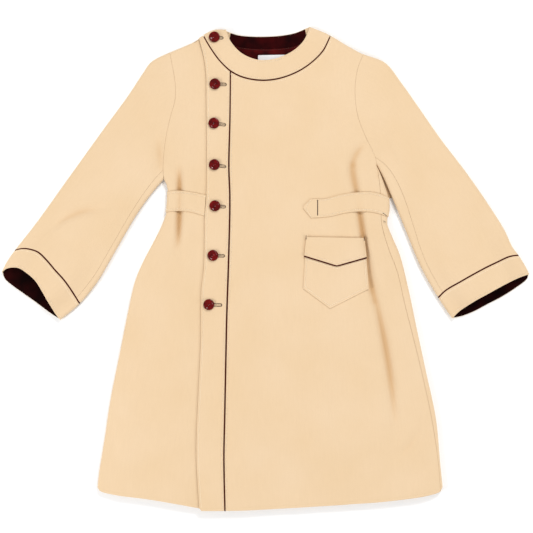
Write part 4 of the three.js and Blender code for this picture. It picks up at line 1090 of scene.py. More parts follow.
def new_object(name: str, mesh: bpy.types.Mesh, material: bpy.types.Material) -> bpy.types.Object:
    """Puts a finished mesh in the scene, smooth, with its material."""
    mesh.materials.clear()
    mesh.materials.append(material)
    mesh.polygons.foreach_set("use_smooth", np.ones(len(mesh.polygons), bool))
    mesh.polygons.foreach_set("material_index", np.zeros(len(mesh.polygons), np.int32))
    mesh.update()
    made = bpy.data.objects.new(name, mesh)
    bpy.context.scene.collection.objects.link(made)
    return made


def dress(piece: bpy.types.Object, slot: str, *replaced: str) -> bpy.types.Object:
    """Lets a piece ride on the coat and hides the nodes that it stands for."""
    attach(piece, BODY)
    if replaced:
        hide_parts(*replaced)
    LOG.info("%s: %d faces", piece.name, len(piece.data.polygons))
    return piece


def ring_faces(rings: int, sides: int) -> list[list[int]]:
    """Faces of a stack of rings, closed at its ends by the two points that come after them."""
    ids = np.arange(rings * sides).reshape(rings, sides)
    ids = np.hstack([ids, ids[:, :1]])
    quads = np.stack([ids[:-1, :-1], ids[:-1, 1:], ids[1:, 1:], ids[1:, :-1]], axis=-1)
    faces = quads.reshape(-1, 4).tolist()
    first, last = rings * sides, rings * sides + 1
    faces += [[first, b, a] for a, b in zip(ids[0, :-1], ids[0, 1:])]
    faces += [[last, a, b] for a, b in zip(ids[-1, :-1], ids[-1, 1:])]
    return faces


@dataclass(frozen=True)
class Wall:
    """A wall of cloth on a grid, closed all round, with soft rounded edges.

    Attributes:
        name: The piece's name.
        thick: Its thickness in millimetres.
        out: How far its outer face stands beyond the grid's points.
        tube: Whether its last column joins its first.
        groove: Depth of a sewn groove.
    """

    name: str
    thick: float
    out: float = 0.0
    tube: bool = False
    groove: float = 0.6

    def mesh(self, grid: Grid) -> bpy.types.Mesh:
        """Builds the wall's mesh in metres."""
        half = self.thick / 2
        bulge = half * np.sqrt(1.0 - (1.0 - np.clip(grid.rim / half, 0.0, 1.0)) ** 2)
        middle = grid.points + grid.normals * (self.out - half)
        outer = middle + grid.normals * (bulge - self.groove * grid.groove)[..., None]
        inner = middle - grid.normals * bulge[..., None]
        rows, columns = grid.rim.shape
        points = np.concatenate([outer.reshape(-1, 3), inner.reshape(-1, 3)])
        weave = np.concatenate([grid.weave.reshape(-1, 3)] * 2) * np.array([MM, MM, 1.0])
        faces = self.faces(rows, columns)
        _, first, same = np.unique(np.round(points, 3), axis=0, return_index=True, return_inverse=True)
        points, weave, faces = points[first], weave[first], same.reshape(-1)[faces]
        if self.volume(points, faces) < 0:
            faces = faces[:, ::-1]
        kept = []
        for face in faces.tolist():
            ring = [a for a, b in zip(face, face[1:] + face[:1]) if a != b]
            if len(set(ring)) == len(ring) > 2:
                kept.append(ring)
        mesh = bpy.data.meshes.new(self.name)
        mesh.from_pydata((points * MM).tolist(), [], kept)
        place = mesh.attributes.new("weave", "FLOAT_VECTOR", "POINT")
        place.data.foreach_set("vector", weave.ravel())
        mesh.validate()
        return mesh

    def faces(self, rows: int, columns: int) -> np.ndarray:
        """Corners of the outer, inner and border faces, four each."""
        ids = np.arange(rows * columns).reshape(rows, columns)
        if self.tube:
            ids = np.hstack([ids, ids[:, :1]])
        outer = np.stack([ids[:-1, :-1], ids[:-1, 1:], ids[1:, 1:], ids[1:, :-1]], axis=-1).reshape(-1, 4)
        shift = rows * columns
        sides = [ids[0], ids[-1][::-1]]
        if not self.tube:
            sides += [ids[:, -1], ids[::-1, 0]]
        rims = [np.stack([s[1:], s[:-1], s[:-1] + shift, s[1:] + shift], axis=-1) for s in sides]
        return np.concatenate([outer, outer[:, ::-1] + shift, *rims])

    def volume(self, points: np.ndarray, faces: np.ndarray) -> float:
        """Signed volume, to tell whether the faces point outwards."""
        a, b, c, d = (points[faces[:, k]] for k in range(4))
        return float(np.einsum("ij,ij->", a, np.cross(b, c)) + np.einsum("ij,ij->", a, np.cross(c, d)))

    def build(self, grid: Grid, material: bpy.types.Material, slot: str, *replaced: str) -> bpy.types.Object:
        """Args:
            grid: Its frames.
            material: Its finish.
            slot: Not used.
            replaced: The nodes that it stands for.

        Returns:
            The finished piece.
        """
        piece = dress(new_object(f"{self.name}_cloth", self.mesh(grid), material), slot, *replaced)
        points = np.hstack([grid.points, grid.points[:, :1]]) if self.tube else grid.points
        across = np.linalg.norm(np.diff(points, axis=1), axis=-1)
        along = np.linalg.norm(np.diff(points, axis=0), axis=-1)
        width, length = across.sum(axis=1).max() * MM, along.sum(axis=0).max() * MM
        first = np.cross(points[:-1, 1:] - points[:-1, :-1], points[1:, 1:] - points[:-1, :-1])
        second = np.cross(points[1:, 1:] - points[:-1, :-1], points[1:, :-1] - points[:-1, :-1])
        area = (np.linalg.norm(first, axis=-1) + np.linalg.norm(second, axis=-1)).sum() / 2 * MM**2
        area = min(max(area, LEAST_AREA * width * length), width * length)
        LOG.info("%s: cut %.0f by %.0f mm, %.4f square metres", self.name, width / MM, length / MM, area)
        return piece


@dataclass(frozen=True)
class Cord:
    """A round piping cord sewn into a seam."""

    name: str
    radius: float = 1.2
    sides: int = 10

    def build(
        self, line: Frames, lift: np.ndarray | float, finishes: Finishes
    ) -> bpy.types.Object:
        """Makes the cord.

        Args:
            line: Points and normals of the face along it.
            lift: How far its middle stands above the face.
            finishes: The coat's finishes.

        Returns:
            The finished cord, in place of the node of the same name.
        """
        points, normals = line
        middle = points + normals * np.broadcast_to(lift, points.shape[:1])[:, None]
        along = np.gradient(middle, axis=0)
        along /= np.linalg.norm(along, axis=1)[:, None]
        beside = np.cross(along, normals)
        beside /= np.linalg.norm(beside, axis=1)[:, None]
        up = np.cross(beside, along)
        turn = np.linspace(0.0, math.tau, self.sides, endpoint=False)
        ring = beside[:, None] * np.cos(turn)[:, None] + up[:, None] * np.sin(turn)[:, None]
        skin = (middle[:, None] + ring * self.radius).reshape(-1, 3)
        ends = np.vstack([middle[0] - along[0] * 0.5, middle[-1] + along[-1] * 0.5])
        skin = np.vstack([skin, ends]) * MM
        mesh = bpy.data.meshes.new(self.name)
        mesh.from_pydata(skin.tolist(), [], ring_faces(len(middle), self.sides))
        return dress(new_object(f"{self.name}_cord", mesh, finishes.piping), "piping", self.name)


class StitchTree:
    """Geometry Nodes that lay short rounded threads at even steps along lines."""

    INPUTS = (
        ("Pitch", "NodeSocketFloat", 0.004),
        ("Length", "NodeSocketFloat", 0.003),
        ("Radius", "NodeSocketFloat", 0.0004),
        ("Across", "NodeSocketBool", False),
        ("Seed", "NodeSocketInt", 3),
        ("Thread", "NodeSocketMaterial", None),
    )

    def __init__(self) -> None:
        """Builds the tree."""
        self.tree = bpy.data.node_groups.new("stitches", "GeometryNodeTree")
        face = self.tree.interface
        face.new_socket("Geometry", in_out="INPUT", socket_type="NodeSocketGeometry")
        self.sockets = {}
        for name, kind, default in self.INPUTS:
            socket = face.new_socket(name, in_out="INPUT", socket_type=kind)
            if default is not None:
                socket.default_value = default
            self.sockets[name] = socket.identifier
        face.new_socket("Geometry", in_out="OUTPUT", socket_type="NodeSocketGeometry")
        self.wire()

    def node(self, kind: str, **values: object) -> bpy.types.Node:
        """A node with its properties set."""
        made = self.tree.nodes.new(kind)
        for key, value in values.items():
            setattr(made, key, value)
        return made

    def wire(self) -> None:
        """Adds the nodes and joins them."""
        link = self.tree.links.new
        start = self.node("NodeGroupInput")
        end = self.node("NodeGroupOutput")
        curve = self.node("GeometryNodeMeshToCurve")
        steps = self.node("GeometryNodeResampleCurve", mode="LENGTH")
        link(start.outputs["Geometry"], curve.inputs["Mesh"])
        link(curve.outputs["Curve"], steps.inputs["Curve"])
        link(start.outputs["Pitch"], steps.inputs["Length"])
        ball = self.node("GeometryNodeMeshUVSphere")
        ball.inputs["Segments"].default_value = 6
        ball.inputs["Rings"].default_value = 5
        halved = self.node("ShaderNodeMath", operation="MULTIPLY")
        halved.inputs[1].default_value = 0.5
        link(start.outputs["Length"], halved.inputs[0])
        size = self.node("ShaderNodeCombineXYZ")
        link(start.outputs["Radius"], size.inputs["X"])
        link(start.outputs["Radius"], size.inputs["Y"])
        link(halved.outputs["Value"], size.inputs["Z"])
        thread = self.node("GeometryNodeTransform")
        link(ball.outputs["Mesh"], thread.inputs["Geometry"])
        link(size.outputs["Vector"], thread.inputs["Scale"])
        tangent = self.node("GeometryNodeInputTangent")
        up = self.node("GeometryNodeInputNamedAttribute", data_type="FLOAT_VECTOR")
        up.inputs["Name"].default_value = "up"
        cross = self.node("ShaderNodeVectorMath", operation="CROSS_PRODUCT")
        link(tangent.outputs["Tangent"], cross.inputs[0])
        link(up.outputs["Attribute"], cross.inputs[1])
        choice = self.node("GeometryNodeSwitch", input_type="VECTOR")
        link(start.outputs["Across"], choice.inputs["Switch"])
        link(tangent.outputs["Tangent"], choice.inputs["False"])
        link(cross.outputs["Vector"], choice.inputs["True"])
        uneven = self.node("FunctionNodeRandomValue", data_type="FLOAT")
        low, high = [s for s in uneven.inputs if s.name in ("Min", "Max") and s.type == "VALUE"]
        low.default_value = 0.9
        high.default_value = 1.08
        link(start.outputs["Seed"], uneven.inputs["Seed"])
        aim = self.node("FunctionNodeAlignRotationToVector", axis="Z")
        link(choice.outputs["Output"], aim.inputs["Vector"])
        lay = self.node("GeometryNodeInstanceOnPoints")
        link(steps.outputs["Curve"], lay.inputs["Points"])
        link(thread.outputs["Geometry"], lay.inputs["Instance"])
        link(aim.outputs["Rotation"], lay.inputs["Rotation"])
        scale = next(s for s in uneven.outputs if s.type == "VALUE")
        link(scale, lay.inputs["Scale"])
        real = self.node("GeometryNodeRealizeInstances")
        finish = self.node("GeometryNodeSetMaterial")
        link(lay.outputs["Instances"], real.inputs["Geometry"])
        link(real.outputs["Geometry"], finish.inputs["Geometry"])
        link(start.outputs["Thread"], finish.inputs["Material"])
        link(finish.outputs["Geometry"], end.inputs["Geometry"])

    def sew(
        self,
        name: str,
        lines: Sequence[Frames],
        material: bpy.types.Material,
        slot: str,
        stitch: Stitch,
        seed: int,
    ) -> bpy.types.Object:
        """Sews a piece's stitches.

        Args:
            name: Name of the finished piece.
            lines: Points and normals along each row of stitches, in millimetres.
            material: The thread's finish.
            slot: Not used.
            stitch: The kind of stitch.
            seed: Seed of the stitches' unevenness.

        Returns:
            One plain mesh with every stitch.
        """
        points = np.vstack([line[0] for line in lines]) * MM
        up = np.vstack([line[1] for line in lines])
        edges, first = [], 0
        for line, _ in lines:
            edges += [(i, i + 1) for i in range(first, first + len(line) - 1)]
            first += len(line)
        mesh = bpy.data.meshes.new(name + "_lines")
        mesh.from_pydata(points.tolist(), edges, [])
        mesh.attributes.new("up", "FLOAT_VECTOR", "POINT").data.foreach_set("vector", up.ravel())
        guide = bpy.data.objects.new(name + "_lines", mesh)
        bpy.context.scene.collection.objects.link(guide)
        modifier = guide.modifiers.new("stitches", "NODES")
        modifier.node_group = self.tree
        values = {
            "Pitch": stitch.pitch * MM,
            "Length": stitch.length * MM,
            "Radius": stitch.radius * MM,
            "Across": stitch.lay.value,
            "Seed": seed,
            "Thread": material,
        }
        for key, value in values.items():
            modifier[self.sockets[key]] = value
        graph = bpy.context.evaluated_depsgraph_get()
        sewn = bpy.data.meshes.new_from_object(guide.evaluated_get(graph))
        guide.modifiers.remove(modifier)
        bpy.data.objects.remove(guide)
        return dress(new_object(name, sewn, material), slot)


class Plan:
    """Edges in plan that several pieces share."""

    def __init__(self) -> None:
        """Works out the shared edges."""
        self.outer = {Hand.LEFT: Edge.through(OUTER_LEFT), Hand.RIGHT: Edge.through(OUTER_RIGHT)}
        self.lower = {Hand.LEFT: Edge.through(LOWER_LEFT), Hand.RIGHT: Edge.through(LOWER_RIGHT)}
        self.armhole = {Hand.LEFT: Edge.through(ARMHOLE_LEFT), Hand.RIGHT: Edge.through(ARMHOLE_RIGHT)}
        side_left = Edge.through(SIDE_LEFT).part(1.0, 0.0)
        side_right = Edge.through(SIDE_RIGHT)
        self.left = side_left.joined(self.armhole[Hand.LEFT], UNDERARM)
        self.right = side_right.joined(self.armhole[Hand.RIGHT], UNDERARM)
        self.side_seam = Edge.through(SIDE_SEAM_RIGHT).joined(self.armhole[Hand.RIGHT], UNDERARM)
        self.hem = Edge.through(HEM)
        self.neck_seam = Edge.through(NECK_SEAM)
        self.closing = Edge.through(CLOSING_SEAM).paced()
        outer_left, outer_right = self.outer[Hand.LEFT], self.outer[Hand.RIGHT]
        self.shoulder_left = outer_left.between(
            named(OUTER_LEFT, "armhole"), named(OUTER_LEFT, "neck corner")
        )
        self.shoulder_right = outer_right.between(
            named(OUTER_RIGHT, "neck corner"), named(OUTER_RIGHT, "armhole")
        )
        self.band_end_left = self.shoulder_left.share_at(named(OUTER_LEFT, "band end"))
        self.band_end_right = self.shoulder_right.share_at(named(OUTER_RIGHT, "band end"))
        self.closing_joint = self.neck_seam.share_at(named(NECK_SEAM, "closing seam"))

    def onto_shoulder(self, rows: Sequence[Row]) -> Edge:
        """A paced edge whose last row is moved onto the left shoulder."""
        top = self.shoulder_left(self.shoulder_left.share_at(rows[-1]))
        return Edge.through([*rows[:-1], Row(float(top[0]), float(top[1]))]).paced()


@dataclass
class Kit:
    """What every sub-assembly works with."""

    plan: Plan
    cutter: Cutter
    finishes: Finishes
    stitches: StitchTree

    @property
    def form(self) -> CoatForm:
        """The coat's form."""
        return self.cutter.form

    def lapped(self, grid: Grid) -> Grid:
        """A grid of the upper front, lifted over the lap."""
        return grid.moved(self.form.lap_at(grid.points[..., 0]))

    def lapped_line(
        self, places: np.ndarray, out: float = 0.0, share: float = 1.0
    ) -> Frames:
        """A line on the upper front, lifted over the lap and moved out."""
        points, normals = self.form.frames(np.asarray(places, float), Face.FRONT, share)
        lift = self.form.lap_at(points[:, 0]) + out
        return points + normals * lift[:, None], normals

    def wool(self, name: str, grid: Grid, thick: float, **values: float) -> None:
        """A wool piece in place of the node of its own name."""
        Wall(name, thick, **values).build(grid, self.finishes.wool, "wool", name)

    def lining(
        self, name: str, grid: Grid, material: bpy.types.Material, slot: str, tube: bool = False
    ) -> None:
        """A lining or facing that lies just inside the wool."""
        wall = Wall(name, self.form.lining, out=-(self.form.cloth + self.form.seam), tube=tube)
        wall.build(grid, material, slot, name)

    def pale_rows(self, name: str, rows: Sequence[Frames], seed: int) -> None:
        """Rows of stitches in thread of the wool's own tone."""
        self.stitches.sew(name, rows, self.finishes.pale_thread, "wool", TOPSTITCH, seed)

    def dark_rows(
        self, name: str, rows: Sequence[Frames], stitch: Stitch, seed: int, slot: str = "piping"
    ) -> None:
        """Dark stitches: the holes, the tacks and the seams of the lining."""
        self.stitches.sew(name, rows, self.finishes.dark_thread, slot, stitch, seed)


@dataclass
class BodyPanels:
    """The back, which turns round the right fold to the side seam, and the two front panels."""

    kit: Kit
    sink: float = 1.2
    sink_reach: tuple[float, float] = (-154.0, -138.0)
    band_sink: float = 1.3
    band_sink_reach: tuple[float, float] = (425.0, 455.0)
    back_step: float = 8.0
    web_low: float = 141.0
    web_high: float = 203.0
    web_under: float = 1.3
    web_top: float = 1.5
    web_thick: float = 1.2
    # painted amber shade given all over the underarm cloth
    web_shade: float = 0.6

    def build(self) -> None:
        """Builds the three panels and the cloth beneath the right underarm."""
        self.back()
        self.front_side()
        self.front_main()
        self.underarm()

    def underarm(self) -> None:
        """The sleeve's cloth that lies flat in the narrow gap beneath the right underarm, with an even
        painted amber shade.
        """
        side, arm = Edge.through(SIDE_RIGHT).points, Edge.through(LOWER_RIGHT).points[::-1]
        level = np.linspace(self.web_low, self.web_high, 18)
        left = np.interp(level, side[:, 1], side[:, 0]) - self.web_under
        right = np.interp(level, arm[:, 1], arm[:, 0]) + self.web_under
        across = np.linspace(0.0, 1.0, 6)
        x = left[:, None] * (1 - across) + right[:, None] * across
        y = np.broadcast_to(level[:, None], x.shape)
        points = np.stack([x, y, np.full_like(x, self.web_top)], axis=-1)
        up = np.broadcast_to(np.array([0.0, 0.0, 1.0]), points.shape)
        weave = np.stack([x, y, np.full_like(x, self.web_shade)], axis=-1)
        grid = Grid(points, up, np.full_like(x, FAR), np.zeros_like(x), weave)
        Wall("underarm_right", self.web_thick).build(grid, self.kit.finishes.wool, "wool")

    def back(self) -> None:
        """The back panel with the strip of it that shows beside the front's right side seam."""
        kit, plan = self.kit, self.kit.plan
        low, high = BACK_BAND
        band = Edge.through(NECK_SEAM_BACK)
        top = plan.shoulder_left.part(0.0, plan.band_end_left).joined(
            band.joined(plan.shoulder_right.part(plan.band_end_right, 1.0), (high - low) / (1 - low)), low
        )
        patch = Patch(plan.left, plan.right, plan.hem, top)
        rims = (ROLLED, TURNED, FREE, ROLLED)
        grid = kit.cutter.grid(
            patch, Face.BACK, rims, self.back_step, joints=(low, high), levels=(UNDERARM,)
        )
        along = grid.weave[:, 0, 1]
        turn = self.turned(along / along.max(), grid)
        kit.wool("back", grid.beside(turn), kit.form.cloth)

    def turned(self, v: np.ndarray, back: Grid) -> Grid:
        """Columns that carry the back round the right fold to the side seam."""
        edge, seam = self.kit.plan.right(v), self.kit.plan.side_seam(v)
        width = np.linalg.norm(edge - seam, axis=1) - 0.15
        open_rows = (v < UNDERARM - 0.004) & (width > 1.0)
        inward = (seam - edge) / np.maximum(np.linalg.norm(seam - edge, axis=1), 1e-6)[:, None]
        steps = np.array([0.3, 0.9, 1.8, 3.0, 4.5, 6.5, 9.0, 12.0, 16.0, 20.0])
        reach = np.where(open_rows, width, 0.0)
        distance = np.minimum(steps[None, :] * np.clip(reach / 21.0, 0.0, 1.0)[:, None], reach[:, None])
        ends = reach[:, None] - np.array([1.0, 0.5, 0.15, 0.0])
        distance = np.hstack([distance, np.maximum(ends, distance[:, -1:])])
        places = edge[:, None, :] + inward[:, None, :] * distance[..., None]
        points, normals = self.kit.form.frames(places, Face.FRONT)
        shut = ~open_rows
        points[shut] = back.points[shut, -1:, :]
        normals[shut] = back.normals[shut, -1:, :]
        rim = reach[:, None] - distance
        back.rim[shut] = np.minimum(back.rim[shut], self.from_last(back.points[shut]))
        along = np.broadcast_to(back.weave[:, -1:, 1], distance.shape)
        weave = np.stack([distance, along, np.zeros_like(distance)], axis=-1)
        hem_rim = np.broadcast_to(back.weave[:, -1:, 1], rim.shape)
        return Grid(points, normals, np.minimum(rim, hem_rim), np.zeros_like(rim), weave)

    @staticmethod
    def from_last(points: np.ndarray) -> np.ndarray:
        """Distance of each point in its row from the row's last one."""
        return np.linalg.norm(points - points[:, -1:, :], axis=-1)

    def front_side(self) -> None:
        """The left front, which runs on under the closing strip."""
        kit, plan = self.kit, self.kit.plan
        hem_end = plan.hem.share_at(UNDERLAP_EDGE[0])
        top_end = plan.shoulder_left.share_at(UNDERLAP_EDGE[-1])
        patch = Patch(
            plan.left,
            plan.onto_shoulder(UNDERLAP_EDGE),
            plan.hem.part(0.0, hem_end),
            plan.shoulder_left.part(0.0, top_end),
        )
        grid = kit.cutter.grid(patch, Face.FRONT, (ROLLED, SEWN, STITCHED, ROLLED), levels=(UNDERARM,))
        kit.wool("front_side", grid.moved(-self.sink_at(grid.points)), kit.form.cloth)

    def sink_at(self, points: np.ndarray) -> np.ndarray:
        """How much deeper the left front lies beneath the strip and the neck band's end."""
        beneath = smooth(points[..., 0], *self.sink_reach)
        return beneath * (self.sink + self.band_sink * smooth(points[..., 1], *self.band_sink_reach))

    def front_main(self) -> None:
        """The main front, from the piped closing seam to the right side seam."""
        kit, plan = self.kit, self.kit.plan
        hem = plan.hem.part(plan.hem.share_at(CLOSING_SEAM[0]), plan.hem.share_at(SIDE_SEAM_RIGHT[0]))
        neck = plan.neck_seam.part(plan.closing_joint, 1.0)
        top = neck.joined(plan.shoulder_right.part(plan.band_end_right, 1.0), MAIN_NECK)
        patch = Patch(plan.closing, plan.side_seam, hem, top)
        rims = (CORDED_STITCHED, SEWN, STITCHED, CORDED_STITCHED)
        grid = kit.cutter.grid(patch, Face.FRONT, rims, joints=(MAIN_NECK,), levels=(UNDERARM,))
        kit.wool("front_main", kit.lapped(grid), kit.form.cloth)


@dataclass
class Closing:
    """The closing strip with its piping, its stitched edges and its buttonholes."""

    kit: Kit
    stitch_inset: float = 4.2
    cord_inset: float = 4.6
    stitch_lift: float = 0.07
    hole_half: float = 2.7
    hole_ends: tuple[tuple[float, float], ...] = (
        (-84.5, 459.0), (-78.0, 366.0), (-79.5, 285.5), (-79.5, 202.0), (-79.5, 122.0),
        (-81.5, 24.0), (-87.0, -74.0),
    )
    piping_end: float = 0.994

    def build(self) -> None:
        """Builds the strip, its cord, stitches and buttonholes."""
        kit, plan = self.kit, self.kit.plan
        free = plan.onto_shoulder(STRIP_FREE_EDGE)
        free_top = plan.shoulder_left.share_at(STRIP_FREE_EDGE[-1])
        top = plan.shoulder_left.part(free_top, plan.band_end_left).joined(
            plan.neck_seam.part(0.0, plan.closing_joint), STRIP_NECK
        )
        patch = Patch(free, plan.closing, Edge.straight(*STRIP_HEM), top)
        rims = (STITCHED, CORDED_STITCHED, STITCHED, CORDED)
        grid = kit.cutter.grid(patch, Face.FRONT, rims, step=4.0, joints=(STRIP_NECK,), levels=(UNDERARM,))
        kit.wool("placket", kit.lapped(grid), kit.form.band)
        line = kit.lapped_line(plan.closing(np.linspace(0.0, self.piping_end, 260)))
        Cord("piping_placket").build(line, -CORD_SINK, kit.finishes)
        self.topstitch(free)
        self.holes()

    def topstitch(self, free: Edge) -> None:
        """Rows of stitches inside the strip's two edges and beside the piping."""
        kit, closing = self.kit, self.kit.plan.closing
        shares = np.linspace(0.004, 0.985, 240)
        insets = ((free, self.stitch_inset), (closing, -self.cord_inset), (closing, self.cord_inset))
        rows = [kit.lapped_line(offset(edge(shares), inset), self.stitch_lift) for edge, inset in insets]
        kit.pale_rows("stitches_closing", rows, seed=11)

    def holes(self) -> None:
        """Stitched buttonholes that run from beneath each button to the right."""
        kit = self.kit
        outlines, slots = [], []
        for button, (x, y) in zip(BUTTONS, self.hole_ends):
            start, end = np.array([button.x - 2.0, button.y]), np.array([x, y])
            outlines.append(kit.lapped_line(self.outline(start, end, self.hole_half), 0.25))
            slots.append(kit.lapped_line(self.outline(start, end, 0.5), 0.1))
        kit.dark_rows("stitches_buttonholes", outlines, BUTTONHOLE, seed=23)
        kit.dark_rows("buttonhole_slots", slots, SLOT, seed=29)

    @staticmethod
    def outline(start: np.ndarray, end: np.ndarray, half: float) -> np.ndarray:
        """A long loop with round ends about a slot."""
        along = (end - start) / np.linalg.norm(end - start)
        beside = np.array([-along[1], along[0]])
        turn = np.linspace(0.0, math.pi, 13)[:, None]
        far = end - along * half + half * (np.sin(turn) * along + np.cos(turn) * beside)
        near = start + along * half - half * (np.sin(turn) * along + np.cos(turn) * beside)
        return np.vstack([far, near, far[:1]])


@dataclass
class NeckBand:
    """The round neck band with its piping, and the facing, lining and bare label that show inside."""

    kit: Kit
    label_left: float = -15.0
    label_right: float = 39.0
    label_low: float = 405.0
    label_high: float = 427.0
    piping: tuple[float, float] = (0.012, 0.983)

    def build(self) -> None:
        """Builds the band, the cord and what shows inside the neck."""
        self.bands()
        self.inside()
        self.label()

    def bands(self) -> None:
        """The front and back halves of the band, the cord in its seam and the rows of stitches."""
        kit, plan = self.kit, self.kit.plan
        left = plan.shoulder_left.part(plan.band_end_left, 1.0)
        right = plan.shoulder_right.part(plan.band_end_right, 0.0)
        edge = Edge.through(NECK_EDGE_FRONT)
        front = kit.cutter.grid(
            Patch(left, right, plan.neck_seam, edge),
            Face.FRONT,
            (ROLLED, ROLLED, CORDED_STITCHED, STITCHED),
            step=3.6,
        )
        kit.wool("neck_band_front", kit.lapped(front), kit.form.band)
        rims = (ROLLED, ROLLED, SEWN, STITCHED)
        patch = Patch(left, right, Edge.through(NECK_SEAM_BACK), Edge.through(NECK_EDGE_BACK))
        kit.wool("neck_band_back", kit.cutter.grid(patch, Face.BACK, rims, step=4.0), kit.form.cloth)
        shares = np.linspace(*self.piping, 150)
        Cord("piping_neck").build(kit.lapped_line(plan.neck_seam(shares)), -CORD_SINK, kit.finishes)
        rows = []
        for line, inset, low, high in (
            (plan.neck_seam, -4.6, 0.03, 0.97),
            (plan.neck_seam, 4.6, 0.24, 0.96),
            (edge, 4.2, 0.03, 0.97),
        ):
            rows.append(kit.lapped_line(offset(line(np.linspace(low, high, 140)), inset), 0.05))
        kit.pale_rows("stitches_neck", rows, seed=13)

    def inside(self) -> None:
        """The dark facing at the back neck and the lining below it."""
        kit = self.kit
        out = -(kit.form.cloth + kit.form.seam)
        lower, upper = Edge.through(FACING_LOWER), Edge.through(NECK_EDGE_BACK)
        sides = Rim(inset=10.0)
        facing = Patch(
            Edge.straight(FACING_LOWER[0], NECK_EDGE_BACK[0]),
            Edge.straight(FACING_LOWER[-1], NECK_EDGE_BACK[-1]),
            lower,
            upper,
        )
        grid = kit.cutter.grid(facing, Face.BACK, (sides, sides, SEWN, Rim(inset=0.8)), step=5.0)
        kit.lining("neck_facing", grid, kit.finishes.facing, "facing")
        lining = Patch(
            Edge.straight(LINING_LOWER[0], FACING_LOWER[0]),
            Edge.straight(LINING_LOWER[-1], FACING_LOWER[-1]),
            Edge.through(LINING_LOWER),
            lower,
        )
        grid = kit.cutter.grid(lining, Face.BACK, (sides, sides, FREE, SEWN), step=5.0)
        kit.lining("lining_back", grid, kit.finishes.lining, "lining")
        shares = np.linspace(0.08, 0.92, 90)
        points, normals = kit.cutter.line(lower(shares) + np.array([0.0, -1.6]), Face.BACK)
        seam = (points + normals * (out - kit.form.lining - 0.1), normals)
        kit.dark_rows("stitches_facing", [seam], TOPSTITCH, seed=17, slot="lining")

    def label(self) -> None:
        """The bare label, sewn down with a dark line above its top edge."""
        kit = self.kit
        left, right, low, high = self.label_left, self.label_right, self.label_low, self.label_high
        patch = Patch(
            Edge.straight((left, low), (left, high)),
            Edge.straight((right, low + 1), (right, high + 1)),
            Edge.straight((left, low), (right, low + 1)),
            Edge.straight((left, high), (right, high + 1)),
        )
        out = -(kit.form.cloth + 2 * kit.form.seam + kit.form.lining)
        grid = kit.cutter.grid(patch, Face.BACK, (FREE, FREE, FREE, FREE), step=4.0)
        Wall("label", 0.5, out=out).build(grid, kit.finishes.label, "label", "label")
        places = Edge.straight((left + 1, high + 0.4), (right - 1, high + 1.4))(np.linspace(0, 1, 20))
        points, normals = kit.cutter.line(places, Face.BACK)
        row = (points + normals * (out - 0.7), normals)
        kit.dark_rows("stitches_label", [row], LABEL_STITCH, seed=19, slot="lining")


